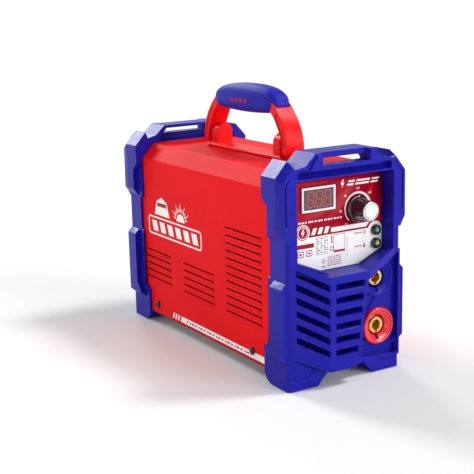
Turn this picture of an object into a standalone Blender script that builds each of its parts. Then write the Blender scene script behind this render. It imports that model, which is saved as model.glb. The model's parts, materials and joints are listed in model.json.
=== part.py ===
"""Portable stick-welding inverter, built as an assembly of separate pieces.

World frame: +X to the right seen from the front, -Y towards the front, +Z up, origin on the floor under the
middle of the machine. Every length below is in millimetres; MM turns it into Blender's metres.

Pieces of the front end are drawn in a local frame whose Y is the depth behind the front bezel's face. Pieces
of the rear end use the same kind of frame, turned half a turn about Z.
"""
import math

import bmesh
import bpy
from mathutils import Matrix, Vector

MM = 0.001
GAP = 0.3

# Whole machine
HALF_LENGTH = 167.7
PROW = 12.0

# Bezels
SIDE = 70.0
BUMPER = 76.0
BEZEL_TOP = 232.0
BEZEL_DEPTH = 30.0
COLLAR_DEPTH = 33.0
FOOT_DEPTH = 42.6
FOOT_INNER = 23.0
FOOT_SLOPE = 12.0
FRONT_WALL = 4.0
INSET = 0.6
BUMPER_BEVEL = 10.0
SLOT_HALF = 28.5
SLOT_FLOOR = 220.5

# Cover and base
COVER_HALF = 67.0
COVER_BOTTOM = 12.5
SHOULDER = 197.0
DECK = 212.0
DECK_HALF = 52.0
SHEET = 1.0
COVER_START = 22.0
SCREW_Z = 24.0
SCREW_Y = (-98.7, 108.3)
SCREW_SHANK = 1.9
SCREW_HOLE = 2.3
VENT_HEIGHT = 2.4
VENT_PITCH = 8.2
VENT_GROUPS = ((240.0, 301.0, 54.0, 5), (144.0, 210.0, 53.5, 5), (50.0, 118.0, 53.5, 12))

# Front panel
PANEL_DEPTH = 18.9
PANEL_FACE = 18.0
PANEL_BACK = 21.5
KNOB_X, KNOB_Z = 28.2, 169.3
KNOB_FRONT = -4.0
DISPLAY = (-41.0, -0.5, 172.5, 197.0)
LAMPS = {"power": (50.6, 144.3), "overheat": (50.6, 130.6)}
SOCKETS = {"negative": (42.0, 98.0), "positive": (43.5, 47.3)}
SOCKET_FLOOR = 7.0
SOCKET_RADIUS = 19.0
STEM_RADIUS = 11.5

# Grille prow
RIDGE_LEFT, RIDGE_RIGHT = -28.0, -21.0
BEAM_X = 19.5
LOUVRE_PITCH = 13.3
LOUVRE_COUNT = 6
LOUVRE_FIRST = 34.5
LOUVRE_GAP = 7.0

# Handle
PIVOT_Z = 229.0
ARM_HALF = 11.0
ARM_INNER = 74.0
ARM_OUTER = 84.0
PIN_RADIUS = 4.0
BOSS_END = 68.6
SCREW_PLACE = 62.0

# Rear panel
REAR_PANEL_DEPTH = 12.0
REAR_PANEL_BACK = 15.0
FAN_Z = 75.0
FAN_RADIUS = 43.0
FAN_SIZE = 92.0
SWITCH_X, SWITCH_Z = -32.0, 172.0
SWITCH_TILT = math.radians(12.0)
GLAND_X, GLAND_Z = 30.0, 172.0
EARTH_X, EARTH_Z = 0.0, 142.0

FRONT = Matrix.Translation((0.0, -HALF_LENGTH * MM, 0.0))
REAR = Matrix.Translation((0.0, HALF_LENGTH * MM, 0.0)) @ Matrix.Rotation(math.pi, 4, "Z")

PLANES = {
    "XZ": Matrix(((1, 0, 0, 0), (0, 0, -1, 0), (0, 1, 0, 0), (0, 0, 0, 1))),
    "YZ": Matrix(((0, 0, 1, 0), (1, 0, 0, 0), (0, 1, 0, 0), (0, 0, 0, 1))),
    "XY": Matrix.Identity(4),
}
AXES = {
    "X": Matrix.Rotation(math.pi / 2, 4, "Y"),
    "Y": Matrix.Rotation(-math.pi / 2, 4, "X"),
    "Z": Matrix.Identity(4),
}


# ---------------------------------------------------------------- modelling tools

def new_object(name, mesh):
    """A mesh object in the collection of the part."""
    obj = bpy.data.objects.new(name, mesh)
    parts.objects.link(obj)
    return obj


def tidy(mesh):
    """Welds doubled corners and turns all faces outwards."""
    work = bmesh.new()
    work.from_mesh(mesh)
    bmesh.ops.remove_doubles(work, verts=work.verts, dist=1e-6)
    bmesh.ops.recalc_face_normals(work, faces=work.faces)
    work.to_mesh(mesh)
    work.free()


def freeze(obj):
    """Replaces an object's modifiers, or a curve, with the mesh they make, in world space."""
    name = obj.name
    bpy.context.view_layer.update()
    graph = bpy.context.evaluated_depsgraph_get()
    mesh = bpy.data.meshes.new_from_object(obj.evaluated_get(graph))
    mesh.transform(obj.matrix_world)
    tidy(mesh)
    bpy.data.objects.remove(obj)
    return new_object(name, mesh)


def outline(name, points, plane, low, high):
    """A flat outline in a plane, extruded along the third axis from low to high."""
    curve = bpy.data.curves.new(name, "CURVE")
    curve.dimensions = "2D"
    curve.fill_mode = "BOTH"
    curve.extrude = (high - low) / 2 * MM
    spline = curve.splines.new("POLY")
    spline.points.add(len(points) - 1)
    for knot, (u, v) in zip(spline.points, points):
        knot.co = (u * MM, v * MM, 0.0, 1.0)
    spline.use_cyclic_u = True
    obj = bpy.data.objects.new(name, curve)
    parts.objects.link(obj)
    turn = PLANES[plane]
    normal = turn.to_3x3() @ Vector((0.0, 0.0, 1.0))
    middle = (low + high) / 2 * MM * Vector([abs(value) for value in normal])
    obj.matrix_world = Matrix.Translation(middle) @ turn
    return freeze(obj)


def box(name, low, high):
    """A box between two corners."""
    mesh = bpy.data.meshes.new(name)
    work = bmesh.new()
    bmesh.ops.create_cube(work, size=1.0)
    size = Vector(high) - Vector(low)
    centre = (Vector(high) + Vector(low)) / 2
    place = Matrix.Translation(centre * MM) @ Matrix.Diagonal((*(size * MM), 1.0))
    bmesh.ops.transform(work, matrix=place, verts=work.verts)
    work.to_mesh(mesh)
    work.free()
    return new_object(name, mesh)


def rod(name, base, axis, length, radius, sides=24, end_radius=None):
    """A cylinder, cone or prism from a base point along an axis."""
    mesh = bpy.data.meshes.new(name)
    work = bmesh.new()
    tip = radius if end_radius is None else end_radius
    bmesh.ops.create_cone(work, cap_ends=True, segments=sides, radius1=radius * MM, radius2=tip * MM,
                          depth=length * MM)
    raise_up = Matrix.Translation((0.0, 0.0, length / 2 * MM))
    place = Matrix.Translation(Vector(base) * MM) @ AXES[axis] @ raise_up
    bmesh.ops.transform(work, matrix=place, verts=work.verts)
    work.to_mesh(mesh)
    work.free()
    return new_object(name, mesh)


def turned(name, profile, centre, axis, sides=32):
    """A turned shape: a closed profile of (radius, height) points spun about an axis."""
    mesh = bpy.data.meshes.new(name)
    corners = [(radius * MM, 0.0, height * MM) for radius, height in profile]
    edges = [(index, (index + 1) % len(corners)) for index in range(len(corners))]
    edges = [(a, b) for a, b in edges if corners[a][0] > 0 or corners[b][0] > 0]
    mesh.from_pydata(corners, edges, [])
    obj = new_object(name, mesh)
    screw = obj.modifiers.new("Spin", "SCREW")
    screw.axis = "Z"
    screw.steps = sides
    screw.render_steps = sides
    screw.use_merge_vertices = True
    screw.merge_threshold = 0.00001
    obj.matrix_world = Matrix.Translation(Vector(centre) * MM) @ AXES[axis]
    return freeze(obj)


def combine(body, tools, operation):
    """Boolean of a body with several tools, one after the other; the tools are used up."""
    for tool in tools:
        parts.objects.unlink(tool)
        cutters.objects.link(tool)
        tool.hide_render = True
        tool.display_type = "WIRE"
        modifier = body.modifiers.new(tool.name, "BOOLEAN")
        modifier.operation = operation
        modifier.solver = "EXACT"
        modifier.use_self = True
        modifier.object = tool
        body = freeze(body)
        bpy.data.objects.remove(tool)
    return body


def join(body, *tools):
    return combine(body, tools, "UNION")


def cut(body, *tools):
    return combine(body, tools, "DIFFERENCE")


def bevel(obj, width, segments=1, angle=40.0):
    """Rounds an object's sharp edges."""
    modifier = obj.modifiers.new("Edges", "BEVEL")
    modifier.width = width * MM
    modifier.segments = segments
    modifier.limit_method = "ANGLE"
    modifier.angle_limit = math.radians(angle)
    return freeze(obj)


def mirrored(obj, name):
    """The other hand of an object, mirrored in X = 0."""
    mesh = obj.data.copy()
    mesh.transform(Matrix.Diagonal((-1.0, 1.0, 1.0, 1.0)))
    mesh.flip_normals()
    return new_object(name, mesh)


def shift(obj, chosen, offset):
    """Moves the corners that a test picks; the faces that it bends are split into flat triangles."""
    work = bmesh.new()
    work.from_mesh(obj.data)
    for vertex in work.verts:
        if chosen(*(vertex.co / MM)):
            vertex.co += Vector(offset) * MM
    bmesh.ops.triangulate(work, faces=work.faces)
    work.to_mesh(obj.data)
    work.free()


def loop_cut(obj, axis, place):
    """Adds a ring of edges across an axis at a place on it."""
    normal = Vector([float(letter == axis) for letter in "XYZ"])
    work = bmesh.new()
    work.from_mesh(obj.data)
    everything = work.verts[:] + work.edges[:] + work.faces[:]
    bmesh.ops.bisect_plane(work, geom=everything, plane_co=normal * place * MM, plane_no=normal)
    work.to_mesh(obj.data)
    work.free()


def turn(obj, angle, axis, centre):
    """Turns a mesh about an axis through a point."""
    spot = Vector(centre) * MM
    obj.data.transform(Matrix.Translation(spot) @ Matrix.Rotation(angle, 4, axis) @ Matrix.Translation(-spot))


def grow(points, amount):
    """A closed outline moved outwards by an amount (inwards if negative)."""
    count = len(points)
    area = sum(points[i][0] * points[(i + 1) % count][1] - points[(i + 1) % count][0] * points[i][1]
               for i in range(count))
    side = math.copysign(1.0, area)
    result = []
    for index in range(count):
        here = Vector(points[index])
        before = (here - Vector(points[index - 1])).normalized()
        after = (Vector(points[(index + 1) % count]) - here).normalized()
        normal_before = Vector((before.y, -before.x)) * side
        normal_after = Vector((after.y, -after.x)) * side
        middle = (normal_before + normal_after).normalized()
        result.append(tuple(here + middle * (amount / max(middle.dot(normal_before), 0.3))))
    return result


def both_sides(half):
    """A closed outline from its right half, listed from the bottom middle to the top middle."""
    left = [(-u, v) for u, v in reversed(half) if abs(u) > 1e-9]
    return half + left


def material(name, colour, roughness, metallic=0.0):
    shader = bpy.data.materials.new(name)
    shader.use_nodes = True
    node = shader.node_tree.nodes["Principled BSDF"]
    node.inputs["Base Color"].default_value = (*colour, 1.0)
    node.inputs["Roughness"].default_value = roughness
    node.inputs["Metallic"].default_value = metallic
    shader.diffuse_color = (*colour, 1.0)
    return shader


def finish(obj, frame, finish_name, origin=None, round_shade=True):
    """Puts a piece in its place, sets its origin and gives it its own material."""
    obj.data.transform(frame)
    if origin is not None:
        spot = Vector(origin) * MM
        obj.data.transform(Matrix.Translation(-spot))
        obj.location = spot
    colour, roughness, metallic = FINISHES[finish_name]
    obj.data.materials.clear()
    obj.data.materials.append(material(obj.name, colour, roughness, metallic))
    if round_shade:
        obj.data.shade_smooth()
        obj.data.set_sharp_from_angle(angle=math.radians(35.0))
    return obj


# ---------------------------------------------------------------- outlines shared by several pieces

def cover_outline(amount):
    """Closed section of the cover's outside, moved outwards by an amount (inwards if negative)."""
    shape = [(-COVER_HALF, COVER_BOTTOM), (COVER_HALF, COVER_BOTTOM), (COVER_HALF, SHOULDER),
             (DECK_HALF, DECK), (-DECK_HALF, DECK), (-COVER_HALF, SHOULDER)]
    return grow(shape, amount)


def lug_outline():
    """Front view of the upper corner bumper on the +X side."""
    return [(59.0, 150.0), (SIDE - 0.5, 150.0), (BUMPER, 159.0), (BUMPER, 211.0), (62.0, 226.5),
            (59.0, 218.6)]


PANEL_OUTLINE = [(-58.0, 128.5), (-18.0, 111.5), (30.0, 111.5), (60.0, 125.0), (60.0, 207.0), (-58.0, 207.0)]
SOCKET_OUTLINE = [(9.0, 20.0), (67.0, 15.5), (67.0, 122.0), (58.0, 119.0), (19.5, 104.0)]


# ---------------------------------------------------------------- bezels

def upper_bumper(side):
    """Corner bumper with its front edges bevelled over the first ten millimetres."""
    bumper = outline("bumper", lug_outline(), "XZ", 0.0, COLLAR_DEPTH + 1.5)
    loop_cut(bumper, "Y", BUMPER_BEVEL)
    shift(bumper, lambda x, y, z: y < 1 and x > BUMPER - 1, (-1.2, 0.0, 0.0))
    shift(bumper, lambda x, y, z: y < 1 and z > 205 and x > 60, (-0.4, 0.0, -5.0))
    relief = outline("bumper_relief", [(25.0, 140.0), (25.0, 182.0), (35.0, 191.0), (45.0, 191.0),
                                       (45.0, 140.0)], "YZ", SIDE + 0.01, BUMPER + 5)
    bumper = cut(bumper, relief)
    pad = [(70.0, 163.5), (72.8, 166.0), (72.8, 205.0), (63.0, 216.0), (60.6, 213.0), (60.6, 152.0)]
    bumper = cut(bumper, outline("pad", grow(pad, -1.2), "XZ", -1.0, 1.6))
    return bumper if side > 0 else reflect(bumper)


def lower_bumper(side):
    shape = [(SIDE - 1, 27.0), (BUMPER, 33.0), (BUMPER, 104.0), (SIDE - 1, 111.0)]
    bumper = outline("low_bumper", shape, "XZ", 3.5, 34.0)
    relief = outline("low_relief", [(23.0, 46.0), (34.5, 32.0), (40.0, 32.0), (40.0, 120.0), (23.0, 120.0)],
                     "YZ", SIDE + 0.01, BUMPER + 5)
    bumper = cut(bumper, relief)
    shift(bumper, lambda x, y, z: y < 4 and x > BUMPER - 1, (-0.8, -1.0, 0.0))
    return bumper if side > 0 else reflect(bumper)


def foot(side):
    """Foot with a skirt up the side; its inner end slopes and its lower rear corner is bevelled."""
    shape = [(0.0, 0.0), (31.4, 0.0), (38.5, 3.5), (FOOT_DEPTH, 9.0), (FOOT_DEPTH, 39.0), (30.0, 46.0),
             (0.0, 46.0)]
    block = outline("foot", shape, "YZ", FOOT_INNER, SIDE)
    loop_cut(block, "Z", FOOT_SLOPE)
    for level in (0.0, 3.5, 9.0):
        offset = (FOOT_SLOPE - level, 0.0, 0.0)
        shift(block, lambda x, y, z: x < FOOT_INNER + 1 and abs(z - level) < 0.1, offset)
    return block if side > 0 else reflect(block)


def reflect(obj):
    """Turns an object into its mirror image in X = 0."""
    twin = mirrored(obj, obj.name + "_left")
    bpy.data.objects.remove(obj)
    return twin


def crossbar(frame):
    """Header, raised pad and finger slot along the top edge."""
    header = box("header", (-59.3, INSET, 204.3), (59.3, 12.0, 219.2))
    slope = outline("header_slope", [(-6.0, 206.8), (1.5, 206.8), (8.2, 213.5), (8.2, 216.9), (-6.0, 216.9)],
                    "YZ", -56.8, 56.8)
    frame = cut(join(frame, header), slope)
    pad = outline("crossbar_pad", both_sides([(43.7, 216.4), (34.5, 230.5)]), "XZ", -2.5, 9.3)
    frame = join(frame, pad)
    attic_shape = both_sides([(42.6, 210.7), (42.6, 218.3), (32.7, 228.6)])
    attic = outline("attic", attic_shape, "XZ", 12.4, 60.0)
    notch = box("notch", (-SLOT_HALF, -6.0, SLOT_FLOOR), (SLOT_HALF, 5.0, BEZEL_TOP + 5))
    slot = box("slot", (-SLOT_HALF + 0.4, 4.4, SLOT_FLOOR), (SLOT_HALF - 0.4, 20.0, 226.5))
    return cut(frame, attic, notch, slot)


def bezel_frame(name):
    """The moulding that both ends share, before its panel is made."""
    shoulder = [(SIDE, 205.0), (59.0, 218.6), (47.5, 221.4), (36.0, BEZEL_TOP)]
    half = [(26.0, 13.2), (34.0, 9.0), (SIDE, 9.0)] + shoulder
    core = outline(name, both_sides(half), "XZ", 0.0, BEZEL_DEPTH)
    high = [(SIDE, 150.0)] + shoulder
    collar = outline("collar", both_sides(high), "XZ", BEZEL_DEPTH - 1, COLLAR_DEPTH)
    core = join(core, collar, foot(1), foot(-1))
    corner = outline("post_corner", [(65.9, -0.1), (72.0, -0.1), (72.0, 6.0)], "XY", -1.0, 149.0)
    core = cut(core, corner, mirrored(corner, "post_corner_left"))
    core = join(core, upper_bumper(1), upper_bumper(-1), lower_bumper(1), lower_bumper(-1))
    tunnel = outline("tunnel", cover_outline(GAP), "XZ", FRONT_WALL, 80.0)
    return crossbar(cut(core, tunnel))


def prow():
    """The louvred prow: a slanted left facet, a flat right facet and the beam over the sockets."""
    shape = [(-64.5, 33.0), (RIDGE_LEFT, 16.0), (3.0, 16.0), (8.7, 20.0), (BEAM_X - 1.0, 103.0),
             (BEAM_X, 103.0), (62.0, 119.5), (62.0, 128.7), (BEAM_X, 112.5), (RIDGE_LEFT, 112.5),
             (-64.5, 128.7)]
    solid = outline("prow", shape, "XZ", -PROW, 5.0)
    loop_cut(solid, "X", RIDGE_LEFT)
    loop_cut(solid, "X", BEAM_X)
    shift(solid, lambda x, y, z: y < 0 and abs(x) > 60, (0.0, PROW, 0.0))
    return solid


def grille_slots():
    """Cutters for the openings between the louvres of both facets."""
    slots = []
    for index in range(LOUVRE_COUNT):
        low = LOUVRE_FIRST + index * LOUVRE_PITCH
        section = [(-30.0, low - 9.0), (4.6, low + 1.4), (4.6, low + 1.4 + LOUVRE_GAP),
                   (-30.0, low - 9.0 + LOUVRE_GAP)]
        right_edge = 4.0 + 11.0 * (low + 5.0 - 20.0) / 92.0
        slots.append(outline(f"slot_right_{index}", section, "YZ", RIDGE_RIGHT, right_edge))
        left = outline(f"slot_left_{index}", section, "YZ", -60.5, RIDGE_LEFT)
        shift(left, lambda x, y, z: x < -60, (0.0, 0.0, 15.0))
        slots.append(left)
    return slots


def front_bezel():
    frame = bezel_frame("front_bezel")
    tray = outline("tray", grow(PANEL_OUTLINE, 2.0), "XZ", INSET, PANEL_BACK)
    sill = outline("sill", grow(SOCKET_OUTLINE, 2.4), "XZ", INSET, SOCKET_FLOOR + 3.0)
    frame = join(frame, tray, sill, prow())
    hollow_left = outline("hollow_left", [(-61.5, 34.0), (RIDGE_LEFT + 2, 19.0), (RIDGE_LEFT + 2, 103.0),
                                          (-61.5, 119.0)], "XZ", -PROW + 3.5, 30.0)
    shift(hollow_left, lambda x, y, z: y < 0 and x < -60, (0.0, PROW, 0.0))
    hollow_right = outline("hollow_right", [(RIDGE_LEFT + 1, 20.0), (4.0, 20.0), (14.5, 103.0),
                                            (RIDGE_LEFT + 1, 103.0)], "XZ", -PROW + 3.5, 30.0)
    frame = cut(frame, hollow_left, hollow_right, *grille_slots())
    recess = outline("recess", PANEL_OUTLINE, "XZ", -40.0, PANEL_DEPTH)
    keep_prow = outline("keep", [(-66.0, 100.0), (62.5, 100.0), (62.5, 128.7), (19.5, 112.5),
                                 (RIDGE_LEFT, 112.5), (-66.0, 128.7)], "XZ", -41.0, 5.0)
    recess = cut(recess, keep_prow)
    well = outline("well", SOCKET_OUTLINE, "XZ", -40.0, SOCKET_FLOOR)
    keep_beam = outline("keep_beam", [(8.7, 10.0), (8.7, 20.0), (19.5, 103.0), (62.0, 119.5), (62.0, 140.0),
                                      (0.0, 140.0), (0.0, 10.0)], "XZ", -41.0, -0.01)
    well = cut(well, keep_beam)
    seats = [rod("seat", (x, 1.2, z), "Y", SOCKET_FLOOR - 1.2, SOCKET_RADIUS + 0.6, 32)
             for x, z in SOCKETS.values()]
    frame = cut(frame, recess, well, *seats)
    x0, x1, z0, z1 = DISPLAY
    holes = [box("display_hole", (x0 + 2, 10.0, z0 + 2), (x1 - 2, 40.0, z1 - 2)),
             rod("shaft_hole", (KNOB_X, 10.0, KNOB_Z), "Y", 30.0, 4.3)]
    holes += [rod(f"{lamp}_hole", (x, 10.0, z), "Y", 30.0, 4.0) for lamp, (x, z) in LAMPS.items()]
    holes += [rod(f"{pole}_hole", (x, -2.0, z), "Y", 30.0, STEM_RADIUS + GAP, 24)
              for pole, (x, z) in SOCKETS.items()]
    return finish(cut(frame, *holes), FRONT, "blue_moulding", round_shade=False)


def rear_bezel():
    frame = bezel_frame("rear_bezel")
    opening = [(-58.0, 16.5), (58.0, 16.5), (58.0, 207.0), (-58.0, 207.0)]
    tray = outline("rear_tray", grow(opening, 2.5), "XZ", INSET, REAR_PANEL_BACK)
    frame = join(frame, tray)
    recess = outline("rear_recess", opening, "XZ", -20.0, REAR_PANEL_DEPTH)
    holes = [rod("fan_hole", (0.0, 5.0, FAN_Z), "Y", 30.0, FAN_RADIUS, 40),
             rod("gland_hole", (GLAND_X, 5.0, GLAND_Z), "Y", 30.0, 10.3),
             rod("earth_hole", (EARTH_X, 5.0, EARTH_Z), "Y", 30.0, 3.3, 16),
             box("switch_hole", (SWITCH_X - 13.3, 5.0, SWITCH_Z - 11.3),
                 (SWITCH_X + 13.3, 30.0, SWITCH_Z + 11.3))]
    return finish(cut(frame, recess, *holes), REAR, "blue_moulding", round_shade=False)


# ---------------------------------------------------------------- cover, base and their screws

def top_cover():
    """Folded sheet cover with three groups of louvre slots on each side."""
    outer = [(COVER_HALF, COVER_BOTTOM), (COVER_HALF, SHOULDER), (DECK_HALF, DECK), (-DECK_HALF, DECK),
             (-COVER_HALF, SHOULDER), (-COVER_HALF, COVER_BOTTOM)]
    wall = COVER_HALF - SHEET
    inner = [(wall, COVER_BOTTOM)] + cover_outline(-SHEET)[2:] + [(-wall, COVER_BOTTOM)]
    length = HALF_LENGTH - COVER_START
    cover = outline("top_cover", outer + inner[::-1], "XZ", -length, length)
    reach = COVER_HALF + 3
    tools = []
    for start, end, bottom, count in VENT_GROUPS:
        for index in range(count):
            z = bottom + index * VENT_PITCH
            low = (-reach, start - HALF_LENGTH, z)
            high = (reach, end - HALF_LENGTH, z + VENT_HEIGHT)
            tools.append(box("vent", low, high))
    for y in SCREW_Y:
        tools.append(rod("screw_hole", (-reach, y, SCREW_Z), "X", 2 * reach, SCREW_HOLE, 12))
        place = (0.0, math.copysign(SCREW_PLACE, y), DECK - 5)
        tools.append(rod("deck_hole", place, "Z", 10.0, SCREW_HOLE, 12))
    return finish(cut(cover, *tools), Matrix(), "red_paint", round_shade=False)


def base_plate():
    """Steel tray with side flanges and four bosses for the main board."""
    wall = COVER_HALF - SHEET - GAP
    shape = both_sides([(wall, 12.8), (wall, 36.0), (wall - 1.5, 36.0), (wall - 1.5, 14.3)])
    length = HALF_LENGTH - COVER_START
    tray = outline("base_plate", shape, "XZ", -length, length)
    posts = [rod("boss", (x, y, 13.0), "Z", 12.7, 4.0, 12) for x in (-50.0, 50.0) for y in (-95.0, 90.0)]
    tray = join(tray, *posts)
    tools = [rod("screw_hole", (-80.0, y, SCREW_Z), "X", 160.0, SCREW_HOLE, 12) for y in SCREW_Y]
    return finish(cut(tray, *tools), Matrix(), "zinc", round_shade=False)


def cover_screws():
    for y, end in zip(SCREW_Y, ("front", "rear")):
        for side, word in ((-1, "left"), (1, "right")):
            name = f"cover_screw_{end}_{word}"
            shank = rod(name, (COVER_HALF - 9.0, y, SCREW_Z), "X", 10.0, SCREW_SHANK, 10)
            head = rod("head", (COVER_HALF + GAP, y, SCREW_Z), "X", 1.8, 4.2, 16, 3.0)
            screw = join(shank, head)
            recess = [box("cross", (COVER_HALF + 1.0, y - wide, SCREW_Z - tall),
                          (80.0, y + wide, SCREW_Z + tall)) for wide, tall in ((2.0, 0.4), (0.4, 2.0))]
            screw = cut(screw, *recess)
            if side < 0:
                screw = reflect(screw)
                screw.name = name
            finish(screw, Matrix(), "black_steel")


# ---------------------------------------------------------------- handle

def arch():
    """Side view of the handle's bar, from the foot of one arm over the top to the other."""
    outside = [(ARM_OUTER, 222.0), (83.4, 230.0), (80.0, 242.0), (74.0, 252.5), (64.0, 264.0), (53.0, 273.5),
               (38.0, 279.0), (16.0, 281.0)]
    inside = [(16.0, 266.0), (38.0, 265.0), (52.0, 261.5), (61.0, 253.0), (69.0, 240.0), (73.4, 230.0),
              (ARM_INNER, 222.0)]
    foot_end = [(ARM_INNER + 0.5, 218.0), (ARM_INNER + 2.0, 216.5), (ARM_OUTER - 2.0, 216.5),
                (ARM_OUTER - 0.5, 218.0)]
    half = inside + foot_end + outside
    return half + [(-y, z) for y, z in reversed(half)]


def handle_frame():
    """Red bar of the handle, with rounded feet so that it can swing over the deck."""
    frame = outline("handle_frame", arch(), "YZ", -ARM_HALF, ARM_HALF)
    panel = [(81.35, 223.7), (80.75, 230.2), (77.4, 241.6), (71.9, 251.1), (64.6, 259.1), (61.1, 255.9),
             (64.7, 250.6), (71.6, 239.6), (76.1, 229.3), (76.45, 223.7)]
    for end in (-1, 1):
        shape = [(end * y, z) for y, z in panel]
        for low, high in ((-ARM_HALF - 2, -ARM_HALF + 1.2), (ARM_HALF - 1.2, ARM_HALF + 2)):
            frame = cut(frame, outline("groove", shape, "YZ", low, high))
    tools = []
    for side in (-1, 1):
        for end in (-1, 1):
            arc = [(7.8 + 3.3 * math.cos(math.radians(step)), 219.7 - 3.3 * math.sin(math.radians(step)))
                   for step in range(0, 91, 18)]
            corner = [(7.8, 214.0), (ARM_HALF + 3, 214.0), (ARM_HALF + 3, 219.7)]
            shape = [(side * x, z) for x, z in arc + corner]
            tools.append(outline("corner", shape, "XZ", end * 80.0 - 10, end * 80.0 + 10))
    tools.append(rod("pin_holes", (0.0, -81.6, PIVOT_Z), "Y", 163.2, PIN_RADIUS + GAP, 12))
    frame = cut(frame, *tools)
    return finish(frame, Matrix(), "red_moulding", (0.0, 0.0, PIVOT_Z), round_shade=False)


def handle_grip():
    """Soft grip: an arched pad with rounded edges, moulded round the top of the bar."""
    half = [(0.0, 255.5), (22.0, 256.0), (42.0, 257.5), (56.5, 259.0), (61.5, 264.5), (64.0, 269.0),
            (57.0, 278.0), (42.0, 285.0), (22.0, 288.0), (0.0, 288.6)]
    shape = half + [(-y, z) for y, z in reversed(half[1:-1])]
    grip = bevel(outline("handle_grip", shape, "YZ", -15.5, 15.5), 8.0, 3, 60.0)
    core = outline("core", grow(arch(), GAP), "YZ", -ARM_HALF - GAP, ARM_HALF + GAP)
    grip = cut(grip, core)
    return finish(grip, Matrix(), "grip_rubber", (0.0, 0.0, PIVOT_Z))


def handle_base():
    """Raised plate on the deck with a round-topped boss at each end, which carries a pivot pin."""
    low = DECK + GAP
    end = ARM_INNER - GAP - 0.2
    radius = ARM_HALF - 1.0
    base = box("handle_base", (-12.5, -end, low), (12.5, end, 215.5))
    tools = []
    for side in (-1, 1):
        front, back = sorted((side * BOSS_END, side * (BOSS_END - 12.5)))
        dome = [(-radius * math.cos(math.pi * step / 12), PIVOT_Z + radius * math.sin(math.pi * step / 12))
                for step in range(13)]
        section = [(radius, low + 1)] + dome[::-1] + [(-radius, low + 1)]
        tools.append(outline("boss", section, "XZ", front, back))
    base = join(base, *tools)
    tools = []
    for side in (-1, 1):
        front, back = sorted((side * (BOSS_END + 1), side * (BOSS_END - 9.5)))
        tools.append(rod("pin_hole", (0.0, front, PIVOT_Z), "Y", back - front, PIN_RADIUS + GAP, 12))
        tools.append(rod("screw_hole", (0.0, side * SCREW_PLACE, low - 2), "Z", 9.0, 2.3, 12))
    return finish(cut(base, *tools), Matrix(), "red_moulding")


def handle_pins():
    for side, word in ((-1, "front"), (1, "rear")):
        front, back = sorted((side * (BOSS_END - 9.0), side * 81.0))
        pin = rod(f"handle_pin_{word}", (0.0, front, PIVOT_Z), "Y", back - front, PIN_RADIUS, 12)
        finish(pin, Matrix(), "steel")
        shank = rod(f"handle_screw_{word}", (0.0, side * SCREW_PLACE, DECK - 2), "Z", 8.0, SCREW_SHANK, 12)
        head = rod("head", (0.0, side * SCREW_PLACE, DECK - SHEET - GAP - 2.6), "Z", 2.6, 4.2, 16)
        finish(join(shank, head), Matrix(), "steel")


# ---------------------------------------------------------------- front panel

def control_panel():
    """Printed plate on the floor of the panel recess."""
    plate = outline("control_panel", grow(PANEL_OUTLINE, -0.4), "XZ", PANEL_FACE, PANEL_DEPTH - GAP)
    x0, x1, z0, z1 = DISPLAY
    tools = [box("display_cut", (x0 + 1.7, 0.0, z0 + 1.7), (x1 - 1.7, 40.0, z1 - 1.7)),
             rod("shaft_cut", (KNOB_X, 0.0, KNOB_Z), "Y", 40.0, 4.3)]
    tools += [rod("lamp_cut", (x, 0.0, z), "Y", 40.0, 4.0) for x, z in LAMPS.values()]
    return finish(cut(plate, *tools), FRONT, "print_red", round_shade=False)


def display():
    """Frame, dark window and the readout block behind them."""
    x0, x1, z0, z1 = DISPLAY
    front = PANEL_FACE - GAP
    frame = box("display_frame", (x0, front - 2.0, z0), (x1, front, z1))
    frame = cut(frame, box("window_cut", (x0 + 2.4, 0.0, z0 + 2.4), (x1 - 2.4, 40.0, z1 - 2.4)))
    finish(bevel(frame, 0.4), FRONT, "white_plastic", round_shade=False)
    inset = 2.4 + GAP
    window = box("display_window", (x0 + inset, front - 1.2, z0 + inset),
                 (x1 - inset, PANEL_BACK + 0.5, z1 - inset))
    finish(window, FRONT, "smoke_lens", round_shade=False)
    block = box("display_module", (x0 + 1, PANEL_BACK + 0.8, z0 + 1), (x1 - 1, PANEL_BACK + 7.0, z1 - 1))
    finish(block, FRONT, "black_plastic", round_shade=False)


def current_knob():
    """Skirted control knob, its white cap, and the potentiometer that it turns."""
    back = PANEL_FACE - 0.5
    bore = 3.3
    profile = [(bore, back), (13.5, back), (13.5, back - 1.6), (12.6, back - 2.8), (11.2, back - 3.4),
               (9.9, KNOB_FRONT + 1.0), (9.2, KNOB_FRONT), (7.5, KNOB_FRONT), (7.5, KNOB_FRONT + 1.2),
               (0.0, KNOB_FRONT + 1.2), (0.0, back - 12.0), (bore, back - 12.0)]
    knob = turned("current_knob", profile, (KNOB_X, 0.0, KNOB_Z), "Y", 24)
    axis = (KNOB_X, -HALF_LENGTH, KNOB_Z)
    finish(knob, FRONT, "black_plastic", axis)
    cap = rod("knob_cap", (KNOB_X, KNOB_FRONT - 0.1, KNOB_Z), "Y", 1.0, 7.2, 32)
    finish(cap, FRONT, "white_plastic", axis)
    shaft = rod("potentiometer_shaft", (KNOB_X, back - 11.5, KNOB_Z), "Y", 14.5, 3.0, 16)
    shaft = finish(shaft, FRONT, "steel", axis)
    body = rod("body", (KNOB_X, PANEL_BACK + GAP, KNOB_Z), "Y", 7.0, 8.0, 24)
    bush = rod("potentiometer", (KNOB_X, PANEL_DEPTH, KNOB_Z), "Y", 5.0, 4.0, 20)
    hollow = rod("bore", (KNOB_X, 0.0, KNOB_Z), "Y", PANEL_BACK + 3.0, bore, 16)
    finish(cut(join(bush, body), hollow), FRONT, "aluminium")


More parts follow.
